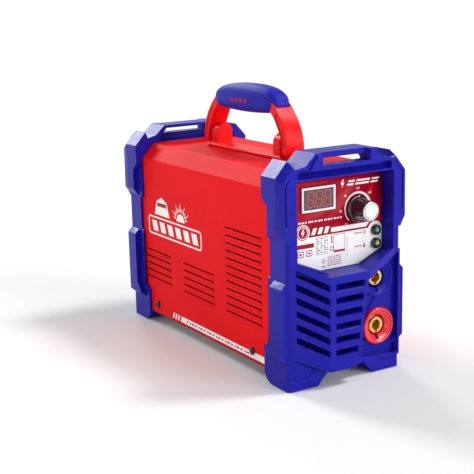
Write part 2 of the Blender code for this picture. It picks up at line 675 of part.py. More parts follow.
def lamps():
    """Two indicator lamps: a black holder with a domed coloured lens."""
    face = PANEL_FACE - GAP
    for lamp, (x, z) in LAMPS.items():
        profile = [(5.6, face), (5.6, face - 1.2), (4.4, face - 4.6), (3.4, face - 5.0), (2.9, face - 4.6),
                   (2.9, face + 6.0), (3.7, face + 6.0), (3.7, face)]
        finish(turned(f"{lamp}_lamp_holder", profile, (x, 0.0, z), "Y", 20), FRONT, "black_plastic")
        lens = [(2.6, face + 5.5), (2.6, face - 3.4), (2.0, face - 4.6), (1.0, face - 5.3),
                (0.0, face - 5.5), (0.0, face + 5.5)]
        finish(turned(f"{lamp}_lamp", lens, (x, 0.0, z), "Y", 20), FRONT, f"{lamp}_lens")


def weld_sockets():
    """Insulating ring, brass contact and clamping nut for each output."""
    for pole, (x, z) in SOCKETS.items():
        centre = (x, 0.0, z)
        seat = SOCKET_FLOOR - GAP
        profile = [(SOCKET_RADIUS, 2.4), (SOCKET_RADIUS, seat), (STEM_RADIUS, seat),
                   (STEM_RADIUS, 24.0), (8.8, 24.0), (8.8, 12.5), (10.0, 11.5), (10.9, 6.4), (15.3, 3.0),
                   (16.2, 1.8), (18.2, 1.8)]
        ring = turned(f"{pole}_socket_ring", profile, centre, "Y", 24)
        key = box("key", (x - 1.8, 4.0, z - 17.0), (x + 1.8, 10.5, z - 9.3))
        finish(cut(ring, key), FRONT, f"{pole}_ring")
        contact = rod(f"{pole}_contact", (x, 6.4, z), "Y", 27.0, 8.5, 28)
        bore = rod("bore", (x, 5.0, z), "Y", 21.0, 4.9, 24)
        keyway = box("keyway", (x - 1.6, 5.0, z - 7.2), (x + 1.6, 14.0, z))
        finish(cut(contact, bore, keyway), FRONT, "brass")
        nut = rod(f"{pole}_socket_nut", (x, SOCKET_FLOOR + 3.0 + GAP, z), "Y", 5.0, 14.5, 6)
        thread = rod("thread", (x, 0.0, z), "Y", 30.0, STEM_RADIUS + GAP, 24)
        finish(cut(nut, thread), FRONT, "steel", round_shade=False)


# ---------------------------------------------------------------- rear panel

def rear_fan():
    """Axial fan and the wire guard outside the panel."""
    front = REAR_PANEL_BACK + GAP
    half = FAN_SIZE / 2
    shell = box("fan_frame", (-half, front, FAN_Z - half), (half, front + 25.0, FAN_Z + half))
    duct = rod("duct", (0.0, front - 5, FAN_Z), "Y", 40.0, FAN_RADIUS, 40)
    shell = cut(shell, duct)
    hub = rod("hub", (0.0, front + 21.0, FAN_Z), "Y", 4.0, 16.0, 24)
    struts = []
    for index in range(3):
        strut = box("strut", (-2.0, front + 22.0, FAN_Z), (2.0, front + 25.0, FAN_Z + FAN_RADIUS + 1.0))
        turn(strut, math.radians(60.0 + 120.0 * index), "Y", (0.0, 0.0, FAN_Z))
        struts.append(strut)
    shell = join(shell, hub, *struts)
    finish(shell, REAR, "black_plastic")
    rotor = rod("fan_rotor", (0.0, front + 2.0, FAN_Z), "Y", 18.0, 16.0, 28)
    blades = []
    for index in range(7):
        blade = box("blade", (-8.0, front + 10.0, FAN_Z + 14.0), (8.0, front + 11.4, FAN_Z + 40.5))
        turn(blade, math.radians(38.0), "Z", (0.0, front + 10.7, 0.0))
        turn(blade, math.radians(360.0 / 7 * index), "Y", (0.0, 0.0, FAN_Z))
        blades.append(blade)
    rotor = join(rotor, *blades)
    finish(rotor, REAR, "black_plastic", (0.0, HALF_LENGTH, FAN_Z))
    outer_y = REAR_PANEL_DEPTH - GAP
    guard = None
    for radius in (17.0, 31.0, 45.0):
        wire = [(radius + 0.9, outer_y - 1.8), (radius + 0.9, outer_y), (radius - 0.9, outer_y),
                (radius - 0.9, outer_y - 1.8)]
        ring = turned("fan_guard" if guard is None else "ring", wire, (0.0, 0.0, FAN_Z), "Y", 20)
        guard = ring if guard is None else join(guard, ring)
    bars = []
    for index in range(4):
        bar = box("bar", (-0.9, outer_y - 3.0, FAN_Z + 15.0), (0.9, outer_y - 1.2, FAN_Z + 46.0))
        turn(bar, math.radians(45.0 + 90.0 * index), "Y", (0.0, 0.0, FAN_Z))
        bars.append(bar)
    finish(join(guard, *bars), REAR, "steel", round_shade=False)


def power_switch():
    """Switch housing clipped into the panel, and a rocker that tips about a level axis."""
    face = REAR_PANEL_DEPTH - GAP
    x, z = SWITCH_X, SWITCH_Z
    flange = box("switch_housing", (x - 15.5, face - 2.0, z - 13.5), (x + 15.5, face, z + 13.5))
    body = box("body", (x - 13.0, face - 1.0, z - 11.0), (x + 13.0, face + 20.0, z + 11.0))
    pocket = box("pocket", (x - 11.0, face - 6.0, z - 9.5), (x + 11.0, face + 14.0, z + 9.5))
    finish(cut(join(bevel(flange, 0.8), body), pocket), REAR, "black_plastic", round_shade=False)
    shape = [(face + 8.0, z - 3.0), (face + 8.0, z + 3.0), (face + 2.0, z + 8.2), (face - 3.4, z + 8.4),
             (face - 2.2, z), (face - 3.4, z - 8.4), (face + 2.0, z - 8.2)]
    rocker = outline("switch_rocker", shape, "YZ", x - 10.5, x + 10.5)
    rocker = bevel(rocker, 0.4)
    turn(rocker, -SWITCH_TILT, "X", (x, face + 2.0, z))
    finish(rocker, REAR, "black_plastic", (-x, HALF_LENGTH - face - 2.0, z), round_shade=False)


def cable_gland():
    """Gland for the supply cable, with its lock nut inside and an open bore."""
    x, z = GLAND_X, GLAND_Z
    face = REAR_PANEL_DEPTH - GAP
    hexagon = rod("cable_gland", (x, face - 6.0, z), "Y", 6.0, 14.0, 6)
    dome = rod("dome", (x, -PROW, z), "Y", face - 5.0 + PROW, 8.5, 28, 11.5)
    thread = rod("thread", (x, face - 1.0, z), "Y", 13.0, 10.0, 28)
    bore = rod("bore", (x, -30.0, z), "Y", 80.0, 5.5, 24)
    finish(cut(join(hexagon, dome, thread), bore), REAR, "black_plastic")
    nut = rod("gland_nut", (x, REAR_PANEL_BACK + GAP, z), "Y", 4.5, 14.0, 6)
    thread = rod("thread", (x, 0.0, z), "Y", 40.0, 10.3, 28)
    finish(cut(nut, thread), REAR, "black_plastic", round_shade=False)


def earth_stud():
    """Earthing screw with its hexagon head outside the panel."""
    shank = rod("earth_stud", (EARTH_X, REAR_PANEL_DEPTH - 1.0, EARTH_Z), "Y", 16.0, 3.0, 16)
    head = rod("head", (EARTH_X, REAR_PANEL_DEPTH - GAP - 4.0, EARTH_Z), "Y", 4.0, 5.8, 6)
    washer = rod("washer", (EARTH_X, REAR_PANEL_DEPTH - GAP - 0.9, EARTH_Z), "Y", 0.9, 7.5, 20)
    finish(join(shank, head, washer), REAR, "brass")


# ---------------------------------------------------------------- inside

BOARD_TOP = 27.6
BASE = BOARD_TOP + GAP


def boards():
    main = box("main_board", (-57.0, -112.0, 26.0), (57.0, 108.0, BOARD_TOP))
    finish(main, Matrix(), "board", round_shade=False)
    control = box("control_board", (-52.0, PANEL_BACK + 9.0, 122.0), (57.0, PANEL_BACK + 10.6, 204.0))
    finish(control, FRONT, "board", round_shade=False)


def heatsinks():
    """Two finned extrusions with a switching module on each end of their outer faces."""
    for side, word in ((-1, "left"), (1, "right")):
        comb = [(50.0, BASE), (50.0, 92.0), (46.5, 92.0)]
        for index in range(6):
            z = 88.0 - index * 10.0
            comb += [(46.5, z + 1.2), (24.0, z + 1.2), (24.0, z - 1.2), (46.5, z - 1.2)]
        comb += [(46.5, BASE)]
        shape = [(side * x, z) for x, z in comb]
        heatsink = outline(f"heatsink_{word}", shape, "XZ", -62.0, 48.0)
        finish(heatsink, Matrix(), "aluminium", round_shade=False)
        for y, end in ((-52.0, "front"), (16.0, "rear")):
            low, high = sorted((side * (50.0 + GAP), side * 55.0))
            module = box(f"switch_module_{word}_{end}", (low, y, 48.0), (high, y + 22.0, 72.0))
            finish(bevel(module, 0.5), Matrix(), "black_plastic", round_shade=False)


def transformer():
    """Ferrite core with two windows, and the winding round its middle leg."""
    core = box("transformer_core", (-21.0, -50.0, BASE), (21.0, -18.0, BASE + 46.0))
    windows = [box("window", (x, -60.0, BASE + 9.0), (x + 9.0, 0.0, BASE + 37.0)) for x in (-15.0, 6.0)]
    finish(cut(core, *windows), Matrix(), "ferrite", round_shade=False)
    coil = box("transformer_winding", (-14.6, -60.0, BASE + 9.4), (14.6, -8.0, BASE + 36.6))
    coil = bevel(coil, 2.0, 2)
    hole = box("leg", (-6.4, -50.4, BASE), (6.4, -17.6, BASE + 60.0))
    finish(cut(coil, hole), Matrix(), "copper", round_shade=False)


def power_parts():
    """Rectifier, storage capacitors, output choke and the two output busbars."""
    bridge = box("rectifier_bridge", (-14.0, 8.0, BASE), (14.0, 36.0, BASE + 8.0))
    hole = rod("hole", (0.0, 22.0, BASE - 2), "Z", 20.0, 2.4, 12)
    finish(cut(bevel(bridge, 1.0), hole), Matrix(), "black_plastic", round_shade=False)
    for number, x in enumerate((-36.0, 0.0, 36.0), 1):
        can = rod(f"capacitor_{number}", (x, 80.0, BASE), "Z", 46.0, 15.0, 24)
        finish(bevel(can, 1.2), Matrix(), "capacitor_sleeve")
    ring = [(21.0, BASE), (21.0, BASE + 22.0), (9.0, BASE + 22.0), (9.0, BASE)]
    choke = turned("output_choke", ring, (-20.0, -88.0, 0.0), "Z", 24)
    finish(bevel(choke, 3.0), Matrix(), "copper")
    back = 6.4 + 27.0 + GAP - HALF_LENGTH
    for pole, (x, z) in SOCKETS.items():
        strap = [(back, z + 8.0), (back, BASE), (back + 24.0, BASE), (back + 24.0, BASE + 3.0),
                 (back + 3.0, BASE + 3.0), (back + 3.0, z + 8.0)]
        offset = 5.0 if pole == "negative" else -7.0
        bar = outline(f"{pole}_busbar", strap, "YZ", x + offset - 5.0, x + offset + 5.0)
        finish(bar, Matrix(), "copper", round_shade=False)


# ---------------------------------------------------------------- build

FINISHES = {
    "blue_moulding": ((0.045, 0.035, 0.42), 0.42, 0.0),
    "red_paint": ((0.68, 0.012, 0.02), 0.38, 0.0),
    "red_moulding": ((0.66, 0.012, 0.02), 0.42, 0.0),
    "grip_rubber": ((0.05, 0.045, 0.36), 0.6, 0.0),
    "print_red": ((0.55, 0.01, 0.03), 0.35, 0.0),
    "white_plastic": ((0.8, 0.8, 0.8), 0.35, 0.0),
    "black_plastic": ((0.02, 0.02, 0.022), 0.4, 0.0),
    "smoke_lens": ((0.03, 0.02, 0.02), 0.12, 0.0),
    "power_lens": ((0.05, 0.45, 0.2), 0.15, 0.0),
    "overheat_lens": ((0.75, 0.6, 0.1), 0.15, 0.0),
    "negative_ring": ((0.035, 0.03, 0.38), 0.4, 0.0),
    "positive_ring": ((0.72, 0.02, 0.03), 0.35, 0.0),
    "brass": ((0.78, 0.56, 0.2), 0.28, 1.0),
    "steel": ((0.6, 0.6, 0.62), 0.35, 1.0),
    "black_steel": ((0.05, 0.05, 0.05), 0.4, 0.8),
    "zinc": ((0.55, 0.56, 0.58), 0.45, 1.0),
    "aluminium": ((0.72, 0.73, 0.75), 0.35, 1.0),
    "board": ((0.02, 0.16, 0.07), 0.5, 0.0),
    "ferrite": ((0.07, 0.07, 0.075), 0.55, 0.0),
    "copper": ((0.7, 0.32, 0.16), 0.35, 0.9),
    "capacitor_sleeve": ((0.03, 0.04, 0.1), 0.35, 0.0),
}

for old in list(bpy.data.objects):
    bpy.data.objects.remove(old)
parts = bpy.data.collections.new("stick_welding_inverter")
cutters = bpy.data.collections.new("cutters")
bpy.context.scene.collection.children.link(parts)
bpy.context.scene.collection.children.link(cutters)

front_bezel()
rear_bezel()
top_cover()
base_plate()
cover_screws()
handle_frame()
handle_grip()
handle_base()
handle_pins()
control_panel()
display()
current_knob()
lamps()
weld_sockets()
rear_fan()
power_switch()
cable_gland()
earth_stud()
boards()
heatsinks()
transformer()
power_parts()
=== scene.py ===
import json
import math

import bmesh
import bpy
from mathutils import Matrix, Vector


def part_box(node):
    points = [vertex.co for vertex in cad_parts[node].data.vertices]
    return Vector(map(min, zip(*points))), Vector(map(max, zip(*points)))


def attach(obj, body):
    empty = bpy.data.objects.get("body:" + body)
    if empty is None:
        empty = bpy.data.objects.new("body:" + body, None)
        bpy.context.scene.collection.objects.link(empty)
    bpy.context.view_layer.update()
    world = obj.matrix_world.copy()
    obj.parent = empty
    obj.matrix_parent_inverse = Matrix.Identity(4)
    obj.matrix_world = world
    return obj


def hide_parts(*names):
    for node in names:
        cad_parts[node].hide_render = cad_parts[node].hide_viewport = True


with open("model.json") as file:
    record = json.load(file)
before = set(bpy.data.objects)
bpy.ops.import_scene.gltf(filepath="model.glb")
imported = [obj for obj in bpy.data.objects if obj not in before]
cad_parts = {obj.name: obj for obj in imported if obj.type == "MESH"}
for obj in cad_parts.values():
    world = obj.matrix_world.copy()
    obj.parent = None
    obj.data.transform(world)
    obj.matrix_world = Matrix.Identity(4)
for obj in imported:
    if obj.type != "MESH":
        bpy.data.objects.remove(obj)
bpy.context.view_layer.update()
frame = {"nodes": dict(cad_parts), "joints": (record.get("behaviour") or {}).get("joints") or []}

MM = 0.001
NODES = frame["nodes"]
JOINTS = {joint["name"]: joint for joint in frame["joints"]}

# Camera: it looks at the machine from its front left
AZIMUTH = math.radians(-31.5621)
ELEVATION = math.radians(12.9485)
ROLL = math.radians(-1.3879)
DISTANCE = 1190.8
AIM_RIGHT = 21.44
AIM_UP = -113.2
LENS = 79.25

# Planes that the details sit on, from the frame
PROW = 12.0
FRONT_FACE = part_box("front_bezel")[0].y / MM + PROW
REAR_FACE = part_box("rear_bezel")[1].y / MM
LABEL_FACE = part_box("control_panel")[0].y / MM
COVER_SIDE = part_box("top_cover")[1].x / MM


def middle(node):
    """Centre of a CAD node in millimetres."""
    low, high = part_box(node)
    return (low + high) / 2 / MM


def depths(node):
    """Places of a CAD node's front and back along world Y, in millimetres."""
    return [corner.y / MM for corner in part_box(node)]


# ---------------------------------------------------------------- materials

class Nodes:
    """A material's node tree with short calls for the nodes that the shaders below share."""

    def __init__(self, name):
        self.material = bpy.data.materials.new(name)
        self.material.use_nodes = True
        self.tree = self.material.node_tree
        self.surface = self.tree.nodes["Principled BSDF"]
        self.place = self.tree.nodes.new("ShaderNodeTexCoord").outputs["Object"]
        self.relief = None

    def add(self, kind, **values):
        node = self.tree.nodes.new(kind)
        for key, value in values.items():
            if hasattr(node, key):
                setattr(node, key, value)
            else:
                node.inputs[key.replace("_", " ")].default_value = value
        return node

    def link(self, source, target):
        self.tree.links.new(source, target)

    def stretched(self, scale):
        node = self.add("ShaderNodeMapping")
        node.inputs["Scale"].default_value = scale
        self.link(self.place, node.inputs["Vector"])
        return node.outputs["Vector"]

    def noise(self, scale, detail=3.0, stretch=None):
        node = self.add("ShaderNodeTexNoise", Scale=scale, Detail=detail)
        self.link(self.stretched(stretch) if stretch else self.place, node.inputs["Vector"])
        return node.outputs["Fac"]

    def cells(self, scale, feature="F1"):
        node = self.add("ShaderNodeTexVoronoi", Scale=scale, feature=feature)
        self.link(self.place, node.inputs["Vector"])
        return node.outputs["Distance"]

    def waves(self, scale, axis):
        node = self.add("ShaderNodeTexWave", Scale=scale, Distortion=0.0)
        node.bands_direction = axis
        self.link(self.place, node.inputs["Vector"])
        return node.outputs["Fac"]

    def colour(self, factor, dark, light):
        node = self.add("ShaderNodeValToRGB")
        node.color_ramp.elements[0].color = (*dark, 1.0)
        node.color_ramp.elements[0].position = 0.3
        node.color_ramp.elements[1].color = (*light, 1.0)
        node.color_ramp.elements[1].position = 0.7
        self.link(factor, node.inputs["Fac"])
        self.link(node.outputs["Color"], self.surface.inputs["Base Color"])

    def roughness(self, factor, low, high):
        node = self.add("ShaderNodeMapRange")
        node.inputs["To Min"].default_value = low
        node.inputs["To Max"].default_value = high
        self.link(factor, node.inputs["Value"])
        self.link(node.outputs["Result"], self.surface.inputs["Roughness"])

    def bump(self, height, strength, distance):
        node = self.add("ShaderNodeBump", Strength=strength, Distance=distance * MM)
        self.link(height, node.inputs["Height"])
        if self.relief:
            self.link(self.relief, node.inputs["Normal"])
        self.relief = node.outputs["Normal"]
        self.link(self.relief, self.surface.inputs["Normal"])


def shade(colour, factor):
    return tuple(min(1.0, value * factor) for value in colour)


def plastic(name, colour, roughness=0.4, grain=2200.0, depth=0.04, spread=0.08, coat=0.0, gloss=0.5):
    """Moulded plastic: faint flow marks in the colour, uneven gloss and a fine spark-eroded grain."""
    made = Nodes(name)
    made.colour(made.noise(22.0, 4.0), shade(colour, 1.0 - spread), shade(colour, 1.0 + spread))
    made.roughness(made.noise(90.0), roughness - 0.06, roughness + 0.08)
    made.bump(made.noise(grain, 2.0), 0.35, depth)
    made.surface.inputs["Specular IOR Level"].default_value = gloss
    made.surface.inputs["Coat Weight"].default_value = coat
    made.surface.inputs["Coat Roughness"].default_value = 0.12
    return made.material


def powder_coat(name, colour):
    """Baked paint on sheet: an orange-peel surface over a slight colour drift."""
    made = Nodes(name)
    made.colour(made.noise(9.0, 2.0), shade(colour, 0.95), shade(colour, 1.05))
    made.roughness(made.noise(60.0), 0.46, 0.56)
    made.bump(made.noise(650.0, 2.0), 0.18, 0.06)
    made.surface.inputs["Specular IOR Level"].default_value = 0.05
    return made.material


def soft_rubber(name, colour):
    """Grip: pebbled cells over a fine grain, with a dull sheen; the colour is lighter on the pebbles and
    darker in the creases between them, which is painted light and shade.
    """
    made = Nodes(name)
    pebbles_and_crease_shade = made.cells(620.0, "F1")
    # painted light and shade: lighter colour on the pebble tops, darker in the creases between them
    made.colour(pebbles_and_crease_shade, shade(colour, 1.12), shade(colour, 0.8))
    made.roughness(made.noise(120.0), 0.42, 0.58)
    made.bump(pebbles_and_crease_shade, 0.75, -0.35)
    made.bump(made.noise(2600.0), 0.25, 0.05)
    made.surface.inputs["Specular IOR Level"].default_value = 0.15
    return made.material


def printed(name, colour, roughness=0.32):
    """Ink on film: nearly even colour with a faint screen-print grain."""
    made = Nodes(name)
    made.colour(made.noise(300.0, 2.0), shade(colour, 0.97), shade(colour, 1.03))
    made.roughness(made.noise(160.0), roughness - 0.04, roughness + 0.06)
    made.bump(made.noise(1500.0), 0.12, 0.02)
    made.surface.inputs["Specular IOR Level"].default_value = 0.12
    return made.material


def metal(name, colour, roughness, stretch=(60.0, 900.0, 900.0)):
    """Worked metal: fine tool lines along one direction and patches of duller surface."""
    made = Nodes(name)
    lines = made.noise(1.0, 3.0, stretch)
    made.colour(made.noise(70.0), shade(colour, 0.88), shade(colour, 1.08))
    made.roughness(lines, roughness - 0.08, roughness + 0.12)
    made.bump(lines, 0.3, 0.02)
    made.surface.inputs["Metallic"].default_value = 1.0
    return made.material


def lens(name, colour, glow=0.0):
    """Clear tinted lens with a bright core."""
    made = Nodes(name)
    core = made.cells(420.0, "SMOOTH_F1")
    made.colour(core, shade(colour, 1.25), shade(colour, 0.55))
    made.surface.inputs["Roughness"].default_value = 0.08
    made.surface.inputs["Coat Weight"].default_value = 1.0
    made.surface.inputs["Coat Roughness"].default_value = 0.03
    made.surface.inputs["Emission Color"].default_value = (*colour, 1.0)
    made.surface.inputs["Emission Strength"].default_value = glow
    made.bump(made.noise(500.0), 0.05, 0.03)
    return made.material


def lit(name, colour, strength):
    """Light-emitting segment with a slightly uneven glow."""
    made = Nodes(name)
    made.colour(made.noise(900.0), shade(colour, 0.85), colour)
    made.surface.inputs["Emission Color"].default_value = (*colour, 1.0)
    made.surface.inputs["Emission Strength"].default_value = strength
    made.surface.inputs["Roughness"].default_value = 0.3
    return made.material


def circuit_board(name):
    """Solder mask with copper tracks under it."""
    made = Nodes(name)
    tracks = made.add("ShaderNodeTexBrick", Scale=90.0, Mortar_Size=0.03)
    made.link(made.place, tracks.inputs["Vector"])
    tracks.inputs["Color1"].default_value = (0.012, 0.12, 0.05, 1.0)
    tracks.inputs["Color2"].default_value = (0.016, 0.16, 0.07, 1.0)
    tracks.inputs["Mortar"].default_value = (0.05, 0.26, 0.12, 1.0)
    made.link(tracks.outputs["Color"], made.surface.inputs["Base Color"])
    made.roughness(made.noise(120.0), 0.3, 0.45)
    made.bump(tracks.outputs["Fac"], 0.4, 0.05)
    return made.material


def wound_wire(name, colour, axis):
    """Enamelled wire wound in close windings; the colour darkens in the grooves between them, which is
    painted shade.
    """
    made = Nodes(name)
    windings_and_groove_shade = made.waves(160.0, axis)
    # painted shade: the colour falls to a third of the wire's own in the grooves between windings
    made.colour(windings_and_groove_shade, shade(colour, 0.35), colour)
    made.bump(windings_and_groove_shade, 1.0, 0.8)
    made.roughness(made.noise(140.0), 0.25, 0.4)
    made.surface.inputs["Metallic"].default_value = 0.85
    return made.material


BLUE = (0.011, 0.009, 0.33)
RED = (0.82, 0.006, 0.01)
INK_RED = (0.42, 0.002, 0.018)
WHITE = (0.86, 0.86, 0.85)

FINISH = {
    "blue": plastic("blue_moulding", BLUE, 0.3, depth=0.02, gloss=0.14),
    "red_sheet": powder_coat("red_paint", RED),
    "red": plastic("red_moulding", RED, 0.32, gloss=0.12),
    "grip": soft_rubber("grip_rubber", shade(BLUE, 1.15)),
    "panel": printed("panel_red", INK_RED),
    "white_ink": printed("ink_white", (0.93, 0.92, 0.91), 0.35),
    "red_ink": printed("ink_red", (0.42, 0.004, 0.02), 0.35),
    "grey_ink": printed("ink_grey", (0.2, 0.19, 0.2), 0.4),
    "white": plastic("white_plastic", WHITE, 0.3, spread=0.03),
    "black": plastic("black_plastic", (0.018, 0.018, 0.02), 0.32),
    "gloss_black": plastic("gloss_black", (0.012, 0.012, 0.013), 0.2, coat=0.6),
    "smoke": lens("smoke_lens", (0.03, 0.03, 0.032)),
    "green_lens": lens("green_lens", (0.02, 0.32, 0.14), 0.25),
    "yellow_lens": lens("yellow_lens", (0.5, 0.42, 0.08), 0.15),
    "segment": lit("segment_red", (0.66, 0.03, 0.03), 0.2),
    "ring_red": plastic("ring_red", (0.78, 0.012, 0.018), 0.24, coat=0.5),
    "brass": metal("brass", (0.83, 0.58, 0.22), 0.26),
    "chrome": metal("bright_steel", (0.75, 0.75, 0.77), 0.18),
    "steel": metal("steel", (0.58, 0.58, 0.6), 0.34),
    "dark_steel": metal("black_steel", (0.06, 0.06, 0.065), 0.36),
    "aluminium": metal("aluminium", (0.72, 0.73, 0.75), 0.34, (900.0, 40.0, 900.0)),
    "board": circuit_board("circuit_board"),
    "ferrite": plastic("ferrite", (0.06, 0.06, 0.062), 0.55, 900.0, 0.1),
    "copper_bar": metal("copper", (0.78, 0.36, 0.2), 0.3),
    "coil_y": wound_wire("copper_coil_y", (0.62, 0.24, 0.1), "Z"),
    "coil_z": wound_wire("copper_coil_z", (0.62, 0.24, 0.1), "X"),
    "sleeve": plastic("capacitor_sleeve", (0.02, 0.03, 0.1), 0.25, coat=0.4),
    # near-black backing behind the louvres: painted shade for the inside of the case
    "painted_shade": plastic("painted_shade_inside", (0.01, 0.008, 0.03), 0.7),
}


# ---------------------------------------------------------------- CAD nodes: rounded edges and materials

SHARP_EDGE = math.radians(30.0)


def dress(node, finish, width, curved):
    """Gives a CAD node its material and, where width isn't 0, rounded edges made by a modifier."""
    obj = NODES[node]
    obj.data.materials.clear()
    obj.data.materials.append(FINISH[finish])
    weld = obj.modifiers.new("Weld", "WELD")
    weld.merge_threshold = 0.00001
    if width:
        bevel = obj.modifiers.new("Edges", "BEVEL")
        bevel.width = width * MM
        bevel.segments = 2
        bevel.limit_method = "ANGLE"
        bevel.angle_limit = SHARP_EDGE
        bevel.use_clamp_overlap = False
        if curved:
            obj.data.shade_smooth()
            obj.modifiers.new("Normals", "WEIGHTED_NORMAL")
        else:
            obj.data.shade_flat()
    else:
        obj.data.shade_smooth()
        obj.data.set_sharp_from_angle(angle=SHARP_EDGE)


# Nodes, their material and the width of their rounded edges
DRESS = [
    (["front_bezel", "rear_bezel"], "blue", 0.45),
    (["top_cover"], "red_sheet", 0.3),
    (["handle_frame", "handle_base"], "red", 0.7),
    (["handle_grip"], "grip", 0.0),
    (["control_panel"], "panel", 0.0),
    (["display_frame"], "white", 0.2),
    (["knob_cap"], "white", 0.2),
    (["display_window"], "smoke", 0.1),
    (["current_knob", "power_lamp_holder", "overheat_lamp_holder"], "gloss_black", 0.0),
    (["display_module", "fan_frame", "fan_rotor", "gland_nut", "rectifier_bridge"], "black", 0.2),
    (["switch_housing", "switch_rocker", "cable_gland"], "black", 0.3),
    (["switch_module_left_front", "switch_module_left_rear", "switch_module_right_front",
      "switch_module_right_rear"], "black", 0.0),
    (["power_lamp"], "green_lens", 0.0),
    (["overheat_lamp"], "yellow_lens", 0.0),
    (["negative_socket_ring"], "blue", 0.0),
    (["positive_socket_ring"], "ring_red", 0.0),
    (["negative_contact", "positive_contact", "earth_stud"], "brass", 0.0),
    (["base_plate", "potentiometer_shaft", "negative_socket_nut", "positive_socket_nut", "handle_pin_front",
      "handle_pin_rear", "handle_screw_front", "handle_screw_rear"], "steel", 0.0),
    (["fan_guard"], "chrome", 0.0),
    (["cover_screw_front_left", "cover_screw_front_right", "cover_screw_rear_left",
      "cover_screw_rear_right"], "dark_steel", 0.0),
    (["potentiometer", "heatsink_left", "heatsink_right"], "aluminium", 0.0),
    (["main_board", "control_board"], "board", 0.0),
    (["transformer_core"], "ferrite", 0.4),
    (["transformer_winding"], "coil_y", 0.0),
    (["output_choke"], "coil_z", 0.0),
    (["negative_busbar", "positive_busbar"], "copper_bar", 0.3),
    (["capacitor_1", "capacitor_2", "capacitor_3"], "sleeve", 0.0),
]
CURVED = ("handle_frame", "handle_base")
for group, finish_name, edge in DRESS:
    for node_name in group:
        dress(node_name, finish_name, edge, node_name in CURVED)


# ---------------------------------------------------------------- pieces: tools

ACROSS, AWAY, UPWARD = Vector((1, 0, 0)), Vector((0, 1, 0)), Vector((0, 0, 1))
TO_METRES = Matrix.Scale(MM, 4)


def facing(u, v, height):
    """Places (u, v, w) in millimetres on a plane at a height along its outward normal w."""
    turn = Matrix((u, v, u.cross(v))).transposed().to_4x4()
    return TO_METRES @ turn @ Matrix.Translation((0.0, 0.0, height))


ON_LABEL = facing(ACROSS, UPWARD, -LABEL_FACE)
ON_FRONT = facing(ACROSS, UPWARD, -FRONT_FACE)
ON_LEFT = facing(-AWAY, UPWARD, COVER_SIDE)
ON_RIGHT = facing(AWAY, UPWARD, COVER_SIDE)


def piece(name, body, finish, work, place=None, sharp=None, stands_for=()):
    """Makes an object of a bmesh and lets it ride on a body."""
    if place is not None:
        bmesh.ops.transform(work, matrix=place, verts=work.verts)
    bmesh.ops.recalc_face_normals(work, faces=work.faces)
    mesh = bpy.data.meshes.new(name)
    work.to_mesh(mesh)
    work.free()
    mesh.materials.append(FINISH[finish])
    if sharp is not None:
        mesh.shade_smooth()
        mesh.set_sharp_from_angle(angle=math.radians(sharp))
    obj = bpy.data.objects.new(name, mesh)
    bpy.context.scene.collection.objects.link(obj)
    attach(obj, body)
    if stands_for:
        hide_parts(*stands_for)
    return obj


def add_plate(work, points, high, low=-0.1):
    """An outline in (u, v), extruded from low to high along the normal."""
    bottom = [work.verts.new((u, v, low)) for u, v in points]
    top = [work.verts.new((u, v, high)) for u, v in points]
    work.faces.new(bottom[::-1])
    work.faces.new(top)
    for index in range(len(points)):
        after = (index + 1) % len(points)
        work.faces.new((bottom[index], bottom[after], top[after], top[index]))


def add_frame(work, outer, inner, high):
    """A flat ring between two outlines with the same number of points."""
    count = len(outer)
    low = -0.1
    loops = [[work.verts.new((u, v, w)) for u, v in points]
             for points, w in ((outer, low), (outer, high), (inner, high), (inner, low))]
    for index in range(count):
        after = (index + 1) % count
        for here, there in zip(loops, loops[1:] + loops[:1]):
            work.faces.new((here[index], here[after], there[after], there[index]))


def rectangle(u0, v0, u1, v1):
    return [(u0, v0), (u1, v0), (u1, v1), (u0, v1)]


def slanted(u0, v0, u1, v1, lean):
    return [(u0, v0), (u1, v0), (u1 + lean, v1), (u0 + lean, v1)]


def circle(u, v, radius, sides=32, start=0.0, sweep=360.0):
    full = sweep >= 360.0
    steps = sides if full else sides + 1
    angles = [math.radians(start + sweep * step / sides) for step in range(steps)]
    return [(u + radius * math.cos(angle), v + radius * math.sin(angle)) for angle in angles]


def rounded(u0, v0, u1, v1, radius):
    corners = ((u1 - radius, v1 - radius, 0), (u0 + radius, v1 - radius, 90),
               (u0 + radius, v0 + radius, 180), (u1 - radius, v0 + radius, 270))
    return [point for u, v, start in corners for point in circle(u, v, radius, 5, start, 90.0)]


def bolt(u, v, size):
    """A generic lightning mark."""
    shape = [(0.1, 1.0), (-0.55, -0.1), (-0.08, -0.1), (-0.2, -1.0), (0.55, 0.22), (0.08, 0.22), (0.4, 1.0)]
    return [(u + size * a, v + size * b) for a, b in shape]


def add_ridge(work, path, width, height, closed=False):
    """A raised line with sloping sides along a path of (u, v) points."""
    low = -0.2
    count = len(path)
    rows = []
    for index, point in enumerate(path):
        here = Vector(point)
        before = Vector(path[index - 1]) if closed or index else None
        after = Vector(path[(index + 1) % count]) if closed or index < count - 1 else None
        into = (here - before).normalized() if before is not None else (after - here).normalized()
        out = (after - here).normalized() if after is not None else into
        along = (into + out).normalized()
        side = Vector((-along.y, along.x)) / max(along.dot(into), 0.4)
        profile = ((-0.5, low), (-0.5, 0.0), (-0.22, 1.0), (0.22, 1.0), (0.5, 0.0), (0.5, low))
        row = []
        for share, rise in profile:
            spot = here + side * (share * width)
            row.append(work.verts.new((spot.x, spot.y, rise * height if rise > 0 else rise)))
        rows.append(row)
    pairs = list(zip(rows, rows[1:])) + ([(rows[-1], rows[0])] if closed else [])
    for a, b in pairs:
        for index in range(len(a)):
            after = (index + 1) % len(a)
            work.faces.new((a[index], a[after], b[after], b[index]))
    if not closed:
        work.faces.new(rows[0][::-1])
        work.faces.new(rows[-1])


